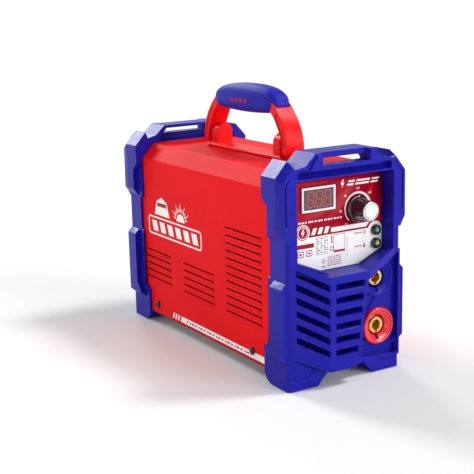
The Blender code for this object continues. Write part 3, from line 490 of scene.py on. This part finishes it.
def add_turned(work, profile, centre, sides=64, wobble=None):
    """A closed (radius, depth) profile turned about Y through a centre (x, z); depth is world y in mm.
    wobble(angle, radius, depth) may change the radius."""
    rings = []
    for radius, depth in profile:
        if radius <= 0:
            rings.append([work.verts.new((centre[0], depth, centre[1]))])
            continue
        ring = []
        for step in range(sides):
            angle = 2 * math.pi * step / sides
            reach = wobble(angle, radius, depth) if wobble else radius
            ring.append(work.verts.new((centre[0] + reach * math.cos(angle), depth,
                                        centre[1] + reach * math.sin(angle))))
        rings.append(ring)
    for a, b in zip(rings, rings[1:] + rings[:1]):
        if len(a) == 1 and len(b) == 1:
            continue
        for step in range(sides):
            after = (step + 1) % sides
            corners = [a[step % len(a)], a[after % len(a)], b[after % len(b)], b[step % len(b)]]
            unique = list(dict.fromkeys(corners))
            work.faces.new(unique)


def add_text(work, text, u, v, size, high):
    """Numbers in Blender's own font, centred on (u, v)."""
    curve = bpy.data.curves.new("figures", "FONT")
    curve.body = text
    curve.size = size
    curve.align_x = "CENTER"
    curve.align_y = "CENTER"
    curve.resolution_u = 3
    curve.extrude = high / 2
    obj = bpy.data.objects.new("figures", curve)
    bpy.context.scene.collection.objects.link(obj)
    bpy.context.view_layer.update()
    mesh = bpy.data.meshes.new_from_object(obj.evaluated_get(bpy.context.evaluated_depsgraph_get()))
    mesh.transform(Matrix.Translation((u, v, high / 2)))
    work.from_mesh(mesh)
    bpy.data.objects.remove(obj)
    bpy.data.meshes.remove(mesh)
    bmesh.ops.remove_doubles(work, verts=work.verts, dist=1e-4)


def carve(obj, low, high):
    """Cuts a box between two corners, in millimetres, out of an object."""
    mesh = bpy.data.meshes.new("cutter")
    work = bmesh.new()
    bmesh.ops.create_cube(work, size=1.0)
    size = Vector(high) - Vector(low)
    centre = (Vector(high) + Vector(low)) / 2
    bmesh.ops.transform(work, matrix=Matrix.Translation(centre * MM) @ Matrix.Diagonal((*(size * MM), 1.0)),
                        verts=work.verts)
    work.to_mesh(mesh)
    work.free()
    cutter = bpy.data.objects.new("cutter", mesh)
    bpy.context.scene.collection.objects.link(cutter)
    modifier = obj.modifiers.new("cut", "BOOLEAN")
    modifier.operation = "DIFFERENCE"
    modifier.solver = "EXACT"
    modifier.object = cutter
    bpy.context.view_layer.update()
    made = bpy.data.meshes.new_from_object(obj.evaluated_get(bpy.context.evaluated_depsgraph_get()))
    obj.modifiers.clear()
    obj.data = made
    bpy.data.objects.remove(cutter)


# ---------------------------------------------------------------- front label

WHITE_TOP = 147.2
LAMP_RING = 9.2
GREEN = middle("power_lamp")
YELLOW = middle("overheat_lamp")
DIAL = JOINTS["current_dial"]["pos_m"]
DIAL_X, DIAL_Z = DIAL[0] / MM, DIAL[2] / MM


def label():
    """White lower field, stripe, badge, small generic marks and the knob's scale."""
    work = bmesh.new()
    reach = math.degrees(math.acos((WHITE_TOP - GREEN.z) / LAMP_RING))
    ring = circle(GREEN.x, GREEN.z, LAMP_RING, 24, 12.0, 78.0 + reach)
    add_plate(work, [(-57.4, 128.9), (-17.9, 112.1), (29.9, 112.1), (59.4, 125.5), (59.4, 146.2)] + ring[:-1]
              + [(41.6, WHITE_TOP), (-57.4, WHITE_TOP)], 0.04)
    add_plate(work, [(-4.8, 149.2), (39.4, 149.2), (43.4, 153.6), (-4.8, 153.6)], 0.04)
    for step in range(3):
        left = -29.0 + step * 7.6
        add_plate(work, slanted(left, 149.2, left + 4.6, 155.6, 2.6), 0.04)
    for index in range(17):
        left = -56.0 + index * 3.9
        add_plate(work, slanted(left, 161.9, left + 2.4 + 0.7 * math.sin(index * 2.3), 163.5, 0.4), 0.04)
    add_plate(work, bolt(9.4, 196.0, 4.4), 0.04)
    for left, width in ((14.6, 8.0), (25.0, 17.0), (44.4, 9.0)):
        add_plate(work, slanted(left, 193.4, left + width, 195.2, 0.9), 0.04)
        add_plate(work, slanted(left + 1.6, 196.6, left + width + 1.6, 198.4, 0.9), 0.04)
    add_scale(work)
    piece("label_white", "case", "white_ink", work, ON_LABEL)

    badge = bmesh.new()
    add_frame(badge, circle(-39.0, 152.4, 8.4), circle(-39.0, 152.4, 7.2), 0.08)
    add_frame(badge, circle(-39.0, 152.4, 6.2), circle(-39.0, 152.4, 5.4), 0.08)
    add_plate(badge, bolt(-39.0, 152.4, 4.2), 0.08)
    piece("label_badge", "case", "white_ink", badge, ON_LABEL)

    work = bmesh.new()
    add_plate(work, circle(-39.0, 152.4, 7.2), 0.06)
    add_plate(work, rectangle(-57.4, 136.8, -25.7, 141.2), 0.08)
    for step in range(3):
        left = -56.0 + step * 10.4
        add_frame(work, rounded(left, 128.4, left + 7.4, 134.6, 1.0),
                  rounded(left + 0.8, 129.2, left + 6.6, 133.8, 0.6), 0.08)
        add_plate(work, rectangle(left + 2.2, 130.6, left + 5.2, 132.4), 0.08)
    add_frame(work, rectangle(-1.8, 128.0, 12.5, 146.2), rectangle(-1.3, 130.2, 12.0, 145.7), 0.08)
    add_plate(work, rectangle(15.2, 122.0, 15.5, 142.6), 0.08)
    add_plate(work, rectangle(-4.6, 137.6, -3.2, 145.8), 0.08)
    add_frame(work, circle(-3.9, 132.4, 2.5, 20), circle(-3.9, 132.4, 1.7, 20), 0.08)
    for row in range(5):
        start = -9.2
        for index in range(5):
            width = 2.6 + 1.3 * math.sin(row * 1.9 + index * 2.6)
            add_plate(work, rectangle(start, 123.9 - row * 2.1, start + width, 124.7 - row * 2.1), 0.08)
            start += width + 0.9
    add_plate(work, rectangle(-16.0, 115.0, -12.6, 116.2), 0.08)
    add_frame(work, circle(-14.3, 121.0, 2.0, 16), circle(-14.3, 121.0, 1.3, 16), 0.08)
    power_mark(work, 36.8, GREEN.z - 0.4)
    heat_mark(work, 36.8, YELLOW.z - 0.4)
    for u, v in ((33.2, GREEN.z - 0.4), (33.2, YELLOW.z - 0.4)):
        for step in range(3):
            add_plate(work, slanted(u - 3.2 * step - 2.4, v - 0.6, u - 3.2 * step, v + 0.6, 0.3), 0.08)
    piece("label_red_marks", "case", "red_ink", work, ON_LABEL)

    work = bmesh.new()
    add_frame(work, rectangle(-23.3, 128.2, -8.8, 146.0), rectangle(-22.9, 128.6, -9.2, 145.6), 0.08)
    for row in range(7):
        for column in range(3):
            u = -22.2 + column * 4.4
            v = 129.8 + row * 2.3
            width = 2.4 + 1.2 * math.sin(row * 1.7 + column * 2.9)
            add_plate(work, rectangle(u, v, u + width, v + 1.1), 0.08)
    piece("label_grey_table", "case", "grey_ink", work, ON_LABEL)


def power_mark(work, u, v):
    """Ring open at the top with a bar through the opening."""
    outer = circle(u, v, 2.1, 18, 125.0, 290.0)
    inner = circle(u, v, 1.4, 18, 125.0, 290.0)
    add_plate(work, outer + inner[::-1], 0.08)
    add_plate(work, rectangle(u - 0.35, v, u + 0.35, v + 2.4), 0.08)


def heat_mark(work, u, v):
    """Thermometer: a bulb with a stem."""
    bulb = circle(u, v - 1.1, 1.3, 18, 120.0, 300.0)
    add_plate(work, bulb + [(u + 0.65, v + 2.2), (u, v + 2.7), (u - 0.65, v + 2.2)], 0.08)


def add_scale(work):
    """Growing arc round the knob with seven figures."""
    sweep = range(49)
    outer = []
    inner = []
    for step in sweep:
        share = step / 48
        angle = math.radians(228.0 - 276.0 * share)
        near, far = 15.0, 15.8 + 2.2 * share
        outer.append((DIAL_X + far * math.cos(angle), DIAL_Z + far * math.sin(angle)))
        inner.append((DIAL_X + near * math.cos(angle), DIAL_Z + near * math.sin(angle)))
    add_plate(work, outer + inner[::-1], 0.04)
    figures = ("20", "50", "80", "110", "140", "170", "200")
    for index, text in enumerate(figures):
        angle = math.radians(228.0 - 46.0 * index)
        add_text(work, text, DIAL_X + 21.2 * math.cos(angle), DIAL_Z + 20.2 * math.sin(angle), 3.4, 0.04)


def display_digits():
    """Three seven-segment figures with their points."""
    low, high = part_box("display_window")
    work = bmesh.new()
    base = (low.z + high.z) / 2 / MM - 7.4
    for number in range(3):
        left = (low.x + high.x) / 2 / MM - 13.8 + number * 10.2
        for (u0, v0), (u1, v1) in segments(7.0, 14.8):
            add_plate(work, bar(left + u0, base + v0, left + u1, base + v1, 1.15, base), 0.05, 0.0)
        add_plate(work, circle(left + 8.2, base + 0.5, 0.7, 12), 0.05, 0.0)
    place = facing(ACROSS, UPWARD, -low.y / MM)
    piece("display_digits", "case", "segment", work, place)


def segments(width, height):
    half = height / 2
    return [((0, 0), (width, 0)), ((0, half), (width, half)), ((0, height), (width, height)),
            ((0, 0), (0, half)), ((width, 0), (width, half)), ((0, half), (0, height)),
            ((width, half), (width, height))]


def bar(u0, v0, u1, v1, width, base):
    """A pointed segment between two corners of a figure, leaning to the right."""
    lean = 0.09
    along = Vector((u1 - u0, v1 - v0)).normalized()
    side = Vector((-along.y, along.x)) * width / 2
    start = Vector((u0, v0)) + along * 0.35
    end = Vector((u1, v1)) - along * 0.35
    inner = along * width / 2
    shape = [start, start + inner + side, end - inner + side, end, end - inner - side, start + inner - side]
    return [(point.x + lean * (point.y - base), point.y) for point in shape]


# ---------------------------------------------------------------- knob, lamps and sockets

def knob():
    """Skirted knob with twelve soft flutes, a bright ring round its cap and a white pointer line."""
    front, back = depths("current_knob")
    centre = (DIAL_X, DIAL_Z)

    def flutes(angle, radius, depth):
        count, deepest, start, length = 12, 0.75, 0.06, 0.7
        share = ((depth - front) / (back - front) - start) / length
        if not 0.0 < share < 1.0:
            return radius
        fade = math.sin(math.pi * share) ** 0.5
        return radius - deepest * fade * (0.5 - 0.5 * math.cos(count * angle)) ** 1.5

    profile = [(3.3, back), (13.2, back), (13.5, back - 0.3), (13.5, back - 1.5), (13.0, back - 2.2),
               (11.9, back - 2.6), (11.3, back - 3.2)]
    rows, skirt, tip = 12, back - 3.4, front + 1.2
    profile += [(11.2 - 1.3 * step / rows, skirt + (tip - skirt) * step / rows) for step in range(rows + 1)]
    profile += [(9.6, front + 1.0), (7.6, front + 1.0), (7.6, front + 2.0), (3.3, front + 2.0)]
    work = bmesh.new()
    add_turned(work, profile, centre, 120, flutes)
    piece("knob_body", "knob", "gloss_black", work, TO_METRES, 32.0, ["current_knob"])
    work = bmesh.new()
    ring = [(9.75, front + 1.2), (9.7, front + 0.7), (9.2, front + 0.1), (8.7, front), (7.9, front),
            (7.5, front + 0.4), (7.5, front + 1.2)]
    add_turned(work, ring, centre, 72)
    piece("knob_ring", "knob", "chrome", work, TO_METRES, 40.0)
    work = bmesh.new()
    face = depths("knob_cap")[0]
    cap = [(7.25, face + 1.1), (7.25, face + 0.35), (7.0, face + 0.1), (6.4, face), (0.0, face),
           (0.0, face + 1.1)]
    add_turned(work, cap, centre, 72)
    piece("knob_face", "knob", "white", work, TO_METRES, 40.0, ["knob_cap"])
    work = bmesh.new()
    add_plate(work, rectangle(DIAL_X - 0.5, DIAL_Z + 11.9, DIAL_X + 0.5, DIAL_Z + 13.1), 0.35, -0.4)
    piece("knob_pointer", "knob", "white_ink", work, facing(ACROSS, UPWARD, -back + 2.3))


def dome(inner, width, tip, depth, last, step):
    """Profile points of a rounded end: from its widest ring, round to an angle in degrees, at a tip."""
    angles = [math.radians(angle) for angle in range(0, last + 1, step)]
    return [(inner + width * math.cos(angle), tip + depth - depth * math.sin(angle)) for angle in angles]


def lamp(name, glass):
    """Domed black holder with a rounded lens."""
    centre = middle(f"{name}_lamp")
    front, back = depths(f"{name}_lamp_holder")
    flange = front + 5.0
    work = bmesh.new()
    holder = [(5.4, flange), (5.6, flange - 0.2), (5.6, flange - 1.0)] + dome(3.1, 2.3, front, 3.6, 90, 15)
    holder += [(2.8, front + 0.3), (2.8, back), (3.7, back), (3.7, flange)]
    add_turned(work, holder, (centre.x, centre.z), 48)
    piece(f"{name}_lamp_bezel", "case", "gloss_black", work, TO_METRES, 40.0,
          [f"{name}_lamp_holder"])
    work = bmesh.new()
    tip = depths(f"{name}_lamp")[0]
    bulb = dome(0.0, 2.65, tip, 2.4, 84, 12) + [(0.0, tip), (0.0, tip + 8.0), (2.65, tip + 8.0)]
    add_turned(work, bulb, (centre.x, centre.z), 40)
    piece(f"{name}_lamp_dome", "case", glass, work, TO_METRES, 50.0, [f"{name}_lamp"])


def socket(pole, finish):
    """Insulating ring with rounded lips and a key notch, and a chamfered brass contact with its keyway."""
    centre = middle(f"{pole}_contact")
    front, back = depths(f"{pole}_socket_ring")
    work = bmesh.new()
    lip = circle(17.6, front + 1.4, 1.4, 10, -180.0, 180.0)
    ring = [(19.0, front + 1.4), (19.0, front + 4.9), (11.5, front + 4.9), (11.5, back), (8.8, back),
            (8.8, front + 10.7), (10.0, front + 9.7), (10.9, front + 4.8), (15.0, front + 1.8)] + lip
    add_turned(work, ring, (centre.x, centre.z), 72)
    made = piece(f"{pole}_ring", "case", finish, work, TO_METRES, 28.0,
                 [f"{pole}_socket_ring"])
    carve(made, (centre.x - 1.8, front + 2.2, centre.z - 17.0),
          (centre.x + 1.8, front + 8.7, centre.z - 9.3))
    work = bmesh.new()
    tip, end = depths(f"{pole}_contact")
    floor = tip + 19.6
    tube = [(7.9, tip), (8.5, tip + 0.6), (8.5, tip + 2.2), (8.1, tip + 2.5), (8.1, tip + 3.1),
            (8.5, tip + 3.4), (8.5, end), (0.0, end), (0.0, floor), (4.9, floor), (4.9, tip + 0.9),
            (5.6, tip)]
    add_turned(work, tube, (centre.x, centre.z), 64)
    made = piece(f"{pole}_terminal", "case", "brass", work, TO_METRES, 25.0, [f"{pole}_contact"])
    carve(made, (centre.x - 1.6, tip - 1.0, centre.z - 7.2), (centre.x + 1.6, tip + 7.6, centre.z))


# ---------------------------------------------------------------- cover: lips of the louvres and printing

LOUVRE_GROUPS = ((240.0, 301.0, 54.0, 5), (144.0, 210.0, 53.5, 5), (50.0, 118.0, 53.5, 12))
LOUVRE_PITCH = 8.2


def louvre_lips(word, place, sign):
    """Rolled lower lip of every pressed louvre on one side; it fades out at both ends."""
    work = bmesh.new()
    stations = 18
    for start, end, bottom, count in LOUVRE_GROUPS:
        for row in range(count):
            low = bottom + row * LOUVRE_PITCH
            rings = []
            for step in range(stations + 1):
                share = step / stations
                swell = max(0.02, (1.0 - abs(2 * share - 1) ** 8)) ** 0.5
                u = sign * (FRONT_FACE + start - 1.0 + (end - start + 2.0) * share)
                section = [(-0.25, -2.2), (0.05, -2.1), (0.5, -1.4), (0.85, -0.5), (0.95, 0.3), (0.7, 1.0),
                           (-0.25, 1.1)]
                rings.append([work.verts.new((u, low + v * (0.4 + 0.6 * swell), w * swell if w > 0 else w))
                              for w, v in section])
            for a, b in zip(rings, rings[1:]):
                for index in range(len(a)):
                    after = (index + 1) % len(a)
                    work.faces.new((a[index], a[after], b[after], b[index]))
            work.faces.new(rings[0])
            work.faces.new(rings[-1][::-1])
    piece(f"louvre_lips_{word}", "case", "red_sheet", work, place, 50.0)


def painted_shade_sheet(word, place, sign):
    """Near-black sheet inside the cover, behind the louvres: painted shade for the dark inside of the case
    seen through the slots.
    """
    work = bmesh.new()
    start, end = sorted(sign * (FRONT_FACE + depth) for depth in (42.0, 306.0))
    behind = 3.4
    add_plate(work, rectangle(start, 47.0, end, 148.0), -behind, -behind - 0.5)
    piece(f"baffle_{word}", "case", "painted_shade", work, place)


def side_print(word, place, sign):
    """White emblem of a plain frame with bars under a spark, and the stripe along the bottom edge.
    Every u is a distance behind the front face, so that both sides read from the front end."""
    def at(points):
        return [(sign * (FRONT_FACE + depth), z) for depth, z in points]

    work = bmesh.new()
    add_frame(work, at(rounded(168.0, 109.0, 292.0, 131.0, 4.5)),
              at(rounded(169.8, 110.8, 290.2, 129.2, 3.2)), 0.05)
    for index in range(6):
        left = 175.0 + index * 18.6
        add_plate(work, at(slanted(left, 114.0, left + 11.5, 126.0, 4.0)), 0.05)
    hub = (214.0, 134.0)
    add_plate(work, at(circle(*hub, 9.0, 20, 0.0, 180.0)), 0.05)
    for step in range(1, 12):
        angle = math.radians(15.0 * step)
        across = Vector((-math.sin(angle), math.cos(angle)))
        out = Vector((math.cos(angle), math.sin(angle)))
        reach = 22.0 if step % 2 == 0 else 17.0
        base = Vector(hub)
        add_plate(work, at([base + out * 11.5 + across * 1.1, base + out * 11.5 - across * 1.1,
                            base + out * reach]), 0.05)
    mask = [(240.0, 134.0), (276.0, 134.0), (270.0, 150.0), (258.0, 155.0), (246.0, 150.0)]
    add_plate(work, at(mask), 0.05)
    front_end = 33.6
    add_plate(work, at([(front_end, 16.2), (222.0, 16.2), (219.0, 23.0), (front_end, 23.0)]), 0.05)
    for index in range(3):
        left = 226.0 + index * 6.0
        add_plate(work, at(slanted(left, 16.2, left + 3.2, 23.0, -3.0)), 0.05)
    piece(f"side_print_{word}", "case", "white_ink", work, place)

    work = bmesh.new()
    add_plate(work, at(rectangle(247.0, 144.0, 269.0, 148.6)), 0.08)
    for index in range(22):
        left = 70.0 + index * 6.4
        add_plate(work, at(slanted(left, 18.6, left + 3.6 + 1.2 * math.sin(index * 2.1), 20.6, -0.6)), 0.08)
    add_plate(work, at(rectangle(front_end, 13.0, 268.0, 15.4)), 0.05)
    piece(f"side_marks_{word}", "case", "red_ink", work, place)


# ---------------------------------------------------------------- handle grip

def curve_through(points, steps):
    """Points on a smooth curve through given points, evenly many between each two."""
    made = []
    count = len(points)
    for index in range(count - 1):
        p0 = Vector(points[max(index - 1, 0)])
        p1, p2 = Vector(points[index]), Vector(points[index + 1])
        p3 = Vector(points[min(index + 2, count - 1)])
        for step in range(steps):
            t = step / steps
            made.append(0.5 * ((2 * p1) + (p2 - p0) * t + (2 * p0 - 5 * p1 + 4 * p2 - p3) * t * t
                               + (3 * p1 - p0 - 3 * p2 + p3) * t ** 3))
    made.append(Vector(points[-1]))
    return made


def height_at(curve, y):
    for a, b in zip(curve, curve[1:]):
        if a.x <= y <= b.x:
            share = (y - a.x) / max(b.x - a.x, 1e-6)
            return a.y + (b.y - a.y) * share
    return curve[-1].y


def grip():
    """Soft grip lofted along the bar: crowned top, rounded flanks and closed, rounded ends."""
    low, high = (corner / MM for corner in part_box("handle_grip"))
    reach = high.y - 0.8
    width = high.x
    crown, sole = high.z - 1.7, low.z + 0.8
    top = curve_through([(0, crown), (22, crown - 0.6), (42, crown - 3.4), (56, crown - 9.4),
                         (reach, low.z + 12.5)], 12)
    bottom = curve_through([(0, sole), (22, sole + 0.4), (42, sole + 1.6), (56, sole + 3.6),
                            (reach, low.z + 10.5)], 12)
    work = bmesh.new()
    rings = []
    stations = 56
    around = 40
    for step in range(stations + 1):
        y = -math.cos(math.pi * step / stations) * reach
        high_z, low_z = height_at(top, abs(y)), height_at(bottom, abs(y))
        half = (high_z - low_z) / 2
        centre = (high_z + low_z) / 2
        share = abs(y) / reach
        side = width * (1.0 - 0.26 * share ** 2) * max(0.0, 1.0 - share ** 14) ** 0.5
        side = max(side, width * 0.55)
        ring = []
        for turn in range(around):
            angle = 2 * math.pi * turn / around
            c, s = math.cos(angle), math.sin(angle)
            power = 2.0 / 3.2
            ring.append(work.verts.new((side * math.copysign(abs(c) ** power, c), y,
                                        centre + half * math.copysign(abs(s) ** power, s))))
        rings.append(ring)
    for a, b in zip(rings, rings[1:]):
        for index in range(around):
            after = (index + 1) % around
            work.faces.new((a[index], a[after], b[after], b[index]))
    work.faces.new(rings[0])
    work.faces.new(rings[-1][::-1])
    piece("grip_pad", "handle", "grip", work, TO_METRES, 60.0, ["handle_grip"])

    work = bmesh.new()
    for sign in (-1, 1):
        for index in range(4):
            left = -17.0 + index * 8.8
            flat = bmesh.new()
            add_plate(flat, slanted(left, 267.4, left + 5.2, 271.4, 1.4), width + 0.12, width - 0.6)
            turn = facing(sign * AWAY, UPWARD, 0.0)
            bmesh.ops.transform(flat, matrix=turn, verts=flat.verts)
            mesh = bpy.data.meshes.new("mark")
            flat.to_mesh(mesh)
            flat.free()
            work.from_mesh(mesh)
            bpy.data.meshes.remove(mesh)
    piece("grip_marks", "handle", "red_ink", work)


# ---------------------------------------------------------------- bezel relief

def front_relief():
    """Raised lines moulded on the feet and in the socket well of the front bezel."""
    work = bmesh.new()
    for sign in (-1, 1):
        foot = [(sign * 63.0, 31.0), (sign * 63.0, 11.5), (sign * 47.0, 11.5), (sign * 38.0, 18.0)]
        add_ridge(work, foot, 1.3, 0.7, closed=True)
        add_ridge(work, [(sign * 64.5, 6.0), (sign * 40.5, 6.0)], 0.9, 0.5)
    piece("foot_relief", "case", "blue", work, ON_FRONT, 40.0)
    work = bmesh.new()
    add_ridge(work, [(24.5, 57.0), (46.0, 83.0)], 1.5, 0.9)
    add_ridge(work, [(23.0, 27.0), (45.0, 26.5)], 1.3, 0.8)
    add_ridge(work, [(14.0, 24.0), (30.0, 36.0), (62.0, 31.0)], 1.3, 0.8)
    add_ridge(work, [(50.0, 113.6), (62.5, 118.6)], 1.3, 0.8)
    well_floor = 7.0
    piece("well_relief", "case", "blue", work, facing(ACROSS, UPWARD, -FRONT_FACE - well_floor), 40.0)


def air_screen():
    """Slanted slats behind the louvres, which keep spatter out of the air inlet."""
    depth, low, high, pitch = 9.0, 22.0, 116.0, 5.0
    work = bmesh.new()
    for index in range(int((high - low) / pitch)):
        z = low + index * pitch
        left = -60.5 if 34.0 < z < 112.0 else -27.0
        right = 4.3 + 10.5 * (z - 20.0) / 83.0
        section = [(-3.2, z + 3.4), (-2.4, z + 4.0), (3.2, z - 3.4), (2.4, z - 4.0)]
        ends = [[work.verts.new((x, FRONT_FACE + depth + y, v)) for y, v in section] for x in (left, right)]
        for point in range(4):
            after = (point + 1) % 4
            work.faces.new((ends[0][point], ends[0][after], ends[1][after], ends[1][point]))
        work.faces.new(ends[0][::-1])
        work.faces.new(ends[1])
    piece("air_screen", "case", "blue", work, TO_METRES)


# ---------------------------------------------------------------- rear end

def guard():
    """Wire finger guard of three rings and four spokes."""
    centre = (middle("fan_guard").x, middle("fan_guard").z)
    face = depths("fan_guard")[1]
    wire = 0.95
    work = bmesh.new()
    for radius in (17.0, 31.0, 45.0):
        add_turned(work, circle(radius, face - 1.9, wire, 10), centre, 72)
    for index in range(4):
        angle = math.radians(45.0 + 90.0 * index)
        spoke = bmesh.ops.create_cone(work, cap_ends=True, segments=12, radius1=wire, radius2=wire,
                                      depth=31.0)
        turn = Matrix.Translation((centre[0], face - 1.0, centre[1])) @ Matrix.Rotation(angle, 4, "Y")
        bmesh.ops.transform(work, matrix=turn @ Matrix.Translation((0.0, 0.0, 30.5)), verts=spoke["verts"])
    piece("guard_wires", "case", "chrome", work, TO_METRES, 50.0, ["fan_guard"])


def rotor():
    """Fan rotor: a domed hub with seven twisted, swept blades."""
    front, back = depths("fan_rotor")
    centre = (middle("fan_rotor").x, middle("fan_rotor").z)
    work = bmesh.new()
    hub = [(0.0, front), (16.0, front), (16.0, back - 2.0), (14.6, back - 0.5), (12.0, back), (0.0, back)]
    add_turned(work, hub, centre, 56)
    middle_y = (front + back) / 2
    section = ((-0.5, 0.0), (-0.2, 0.6), (0.2, 0.6), (0.5, 0.0), (0.2, -0.6), (-0.2, -0.6))
    for index in range(7):
        rows = []
        for step in range(7):
            share = step / 6
            radius = 14.5 + 26.0 * share
            pitch = math.radians(52.0 - 26.0 * share)
            chord = 15.0 + 7.0 * share
            sweep = math.radians(360.0 / 7 * index + 14.0 * share)
            row = []
            for along, thick in section:
                camber = 1.8 * (0.25 - along * along) * 4
                across = along * chord * math.cos(pitch)
                depth = along * chord * math.sin(pitch) * 0.62 + camber * 0.5 + thick
                angle = sweep + across / radius
                row.append(work.verts.new((centre[0] + radius * math.sin(angle), middle_y + depth,
                                           centre[1] + radius * math.cos(angle))))
            rows.append(row)
        for a, b in zip(rows, rows[1:]):
            for point in range(6):
                after = (point + 1) % 6
                work.faces.new((a[point], a[after], b[after], b[point]))
        work.faces.new(rows[0])
        work.faces.new(rows[-1][::-1])
    piece("fan_wheel", "fan", "black", work, TO_METRES, 35.0, ["fan_rotor"])


def rear_marks():
    """Blank rating plate, switch positions and an earth mark, all without lettering."""
    recess = 12.0
    place = facing(-ACROSS, UPWARD, REAR_FACE - recess)
    work = bmesh.new()
    add_plate(work, rounded(-52.0, 130.0, -14.0, 152.0, 1.5), 0.4, -0.1)
    piece("rating_plate", "case", "aluminium", work, place)
    work = bmesh.new()
    for row in range(5):
        add_plate(work, rectangle(-49.0, 133.4 + row * 3.6, -49.0 + 24.0 + 6.0 * math.sin(row * 2.0),
                                  134.2 + row * 3.6), 0.46, 0.3)
    piece("rating_rows", "case", "grey_ink", work, place)
    switch = middle("switch_rocker")
    work = bmesh.new()
    u = -switch.x
    add_frame(work, circle(u, switch.z - 18.0, 1.8, 20), circle(u, switch.z - 18.0, 1.2, 20), 0.05)
    add_plate(work, rectangle(u - 0.35, switch.z + 16.0, u + 0.35, switch.z + 19.6), 0.05)
    earth = middle("earth_stud")
    for step, half in enumerate((3.0, 2.0, 1.0)):
        add_plate(work, rectangle(-earth.x + 11.0 - half, earth.z - 0.6 - step * 1.5, -earth.x + 11.0 + half,
                                  earth.z + 0.0 - step * 1.5), 0.05)
    add_plate(work, rectangle(-earth.x + 10.7, earth.z, -earth.x + 11.3, earth.z + 3.4), 0.05)
    piece("rear_marks", "case", "white_ink", work, place)


label()
display_digits()
knob()
lamp("power", "green_lens")
lamp("overheat", "yellow_lens")
socket("negative", "blue")
socket("positive", "ring_red")
for word, place, sign in (("left", ON_LEFT, -1), ("right", ON_RIGHT, 1)):
    louvre_lips(word, place, sign)
    painted_shade_sheet(word, place, sign)
    side_print(word, place, sign)
grip()
front_relief()
air_screen()
guard()
rotor()
rear_marks()


# ---------------------------------------------------------------- stage

def camera():
    """Camera at the viewing angle that shows the front and the left side."""
    back = Vector((math.sin(AZIMUTH) * math.cos(ELEVATION), -math.cos(AZIMUTH) * math.cos(ELEVATION),
                   math.sin(ELEVATION)))
    right = (-back).cross(Vector((0.0, 0.0, 1.0))).normalized()
    up = right.cross(-back)
    across = right * math.cos(ROLL) + up * math.sin(ROLL)
    upward = -right * math.sin(ROLL) + up * math.cos(ROLL)
    eye = (back * DISTANCE - across * AIM_RIGHT - upward * AIM_UP) * MM
    data = bpy.data.cameras.new("camera")
    data.lens = LENS
    data.sensor_width = 36.0
    data.clip_end = 1000.0
    obj = bpy.data.objects.new("camera", data)
    turn = Matrix((across, upward, back)).transposed().to_4x4()
    obj.matrix_world = Matrix.Translation(eye) @ turn
    bpy.context.scene.collection.objects.link(obj)
    bpy.context.scene.camera = obj


def soft_sun(name, azimuth, elevation, power, spread):
    """A distant light as soft as a large softbox; azimuth 0 is in front, positive to the right."""
    data = bpy.data.lights.new(name, "SUN")
    data.energy = power
    data.angle = math.radians(spread)
    across, rise = math.radians(azimuth), math.radians(elevation)
    source = Vector((math.sin(across) * math.cos(rise), -math.cos(across) * math.cos(rise), math.sin(rise)))
    obj = bpy.data.objects.new(name, data)
    obj.rotation_euler = source.to_track_quat("Z", "Y").to_euler()
    bpy.context.scene.collection.objects.link(obj)


def stage():
    """Pale floor that runs to the horizon, an even pale world and soft distant lights."""
    bpy.context.scene.view_settings.view_transform = "Standard"
    world = bpy.data.worlds.new("world")
    world.use_nodes = True
    background = world.node_tree.nodes["Background"]
    background.inputs["Color"].default_value = (1.0, 1.0, 1.0, 1.0)
    background.inputs["Strength"].default_value = 0.25
    bpy.context.scene.world = world
    mesh = bpy.data.meshes.new("floor")
    work = bmesh.new()
    near, far, rise, sides = 60.0, 400.0, 62.0, 64
    bmesh.ops.create_circle(work, cap_ends=True, cap_tris=True, segments=sides, radius=near)
    edge = [loop for loop in work.edges if len(loop.link_faces) == 1]
    grown = bmesh.ops.extrude_edge_only(work, edges=edge)["geom"]
    for vertex in grown:
        if isinstance(vertex, bmesh.types.BMVert):
            vertex.co = Vector((vertex.co.x * far / near, vertex.co.y * far / near, rise))
    work.to_mesh(mesh)
    work.free()
    floor = bpy.data.objects.new("floor", mesh)
    floor.location.z = -0.0004
    made = Nodes("floor")
    made.colour(made.noise(1.0), (0.82, 0.82, 0.82), (0.83, 0.83, 0.83))
    made.surface.inputs["Roughness"].default_value = 1.0
    made.surface.inputs["Specular IOR Level"].default_value = 0.0
    mesh.materials.append(made.material)
    bpy.context.scene.collection.objects.link(floor)
    soft_sun("back_light", -165.0, 31.0, 1.7, 16.0)
    soft_sun("rim_light", 162.0, 29.0, 0.8, 16.0)
    soft_sun("right_light", 67.0, 56.0, 1.6, 14.0)
    soft_sun("front_light", 24.0, 14.0, 2.5, 40.0)
    soft_sun("left_light", -80.0, 18.0, 0.5, 50.0)


camera()
stage()
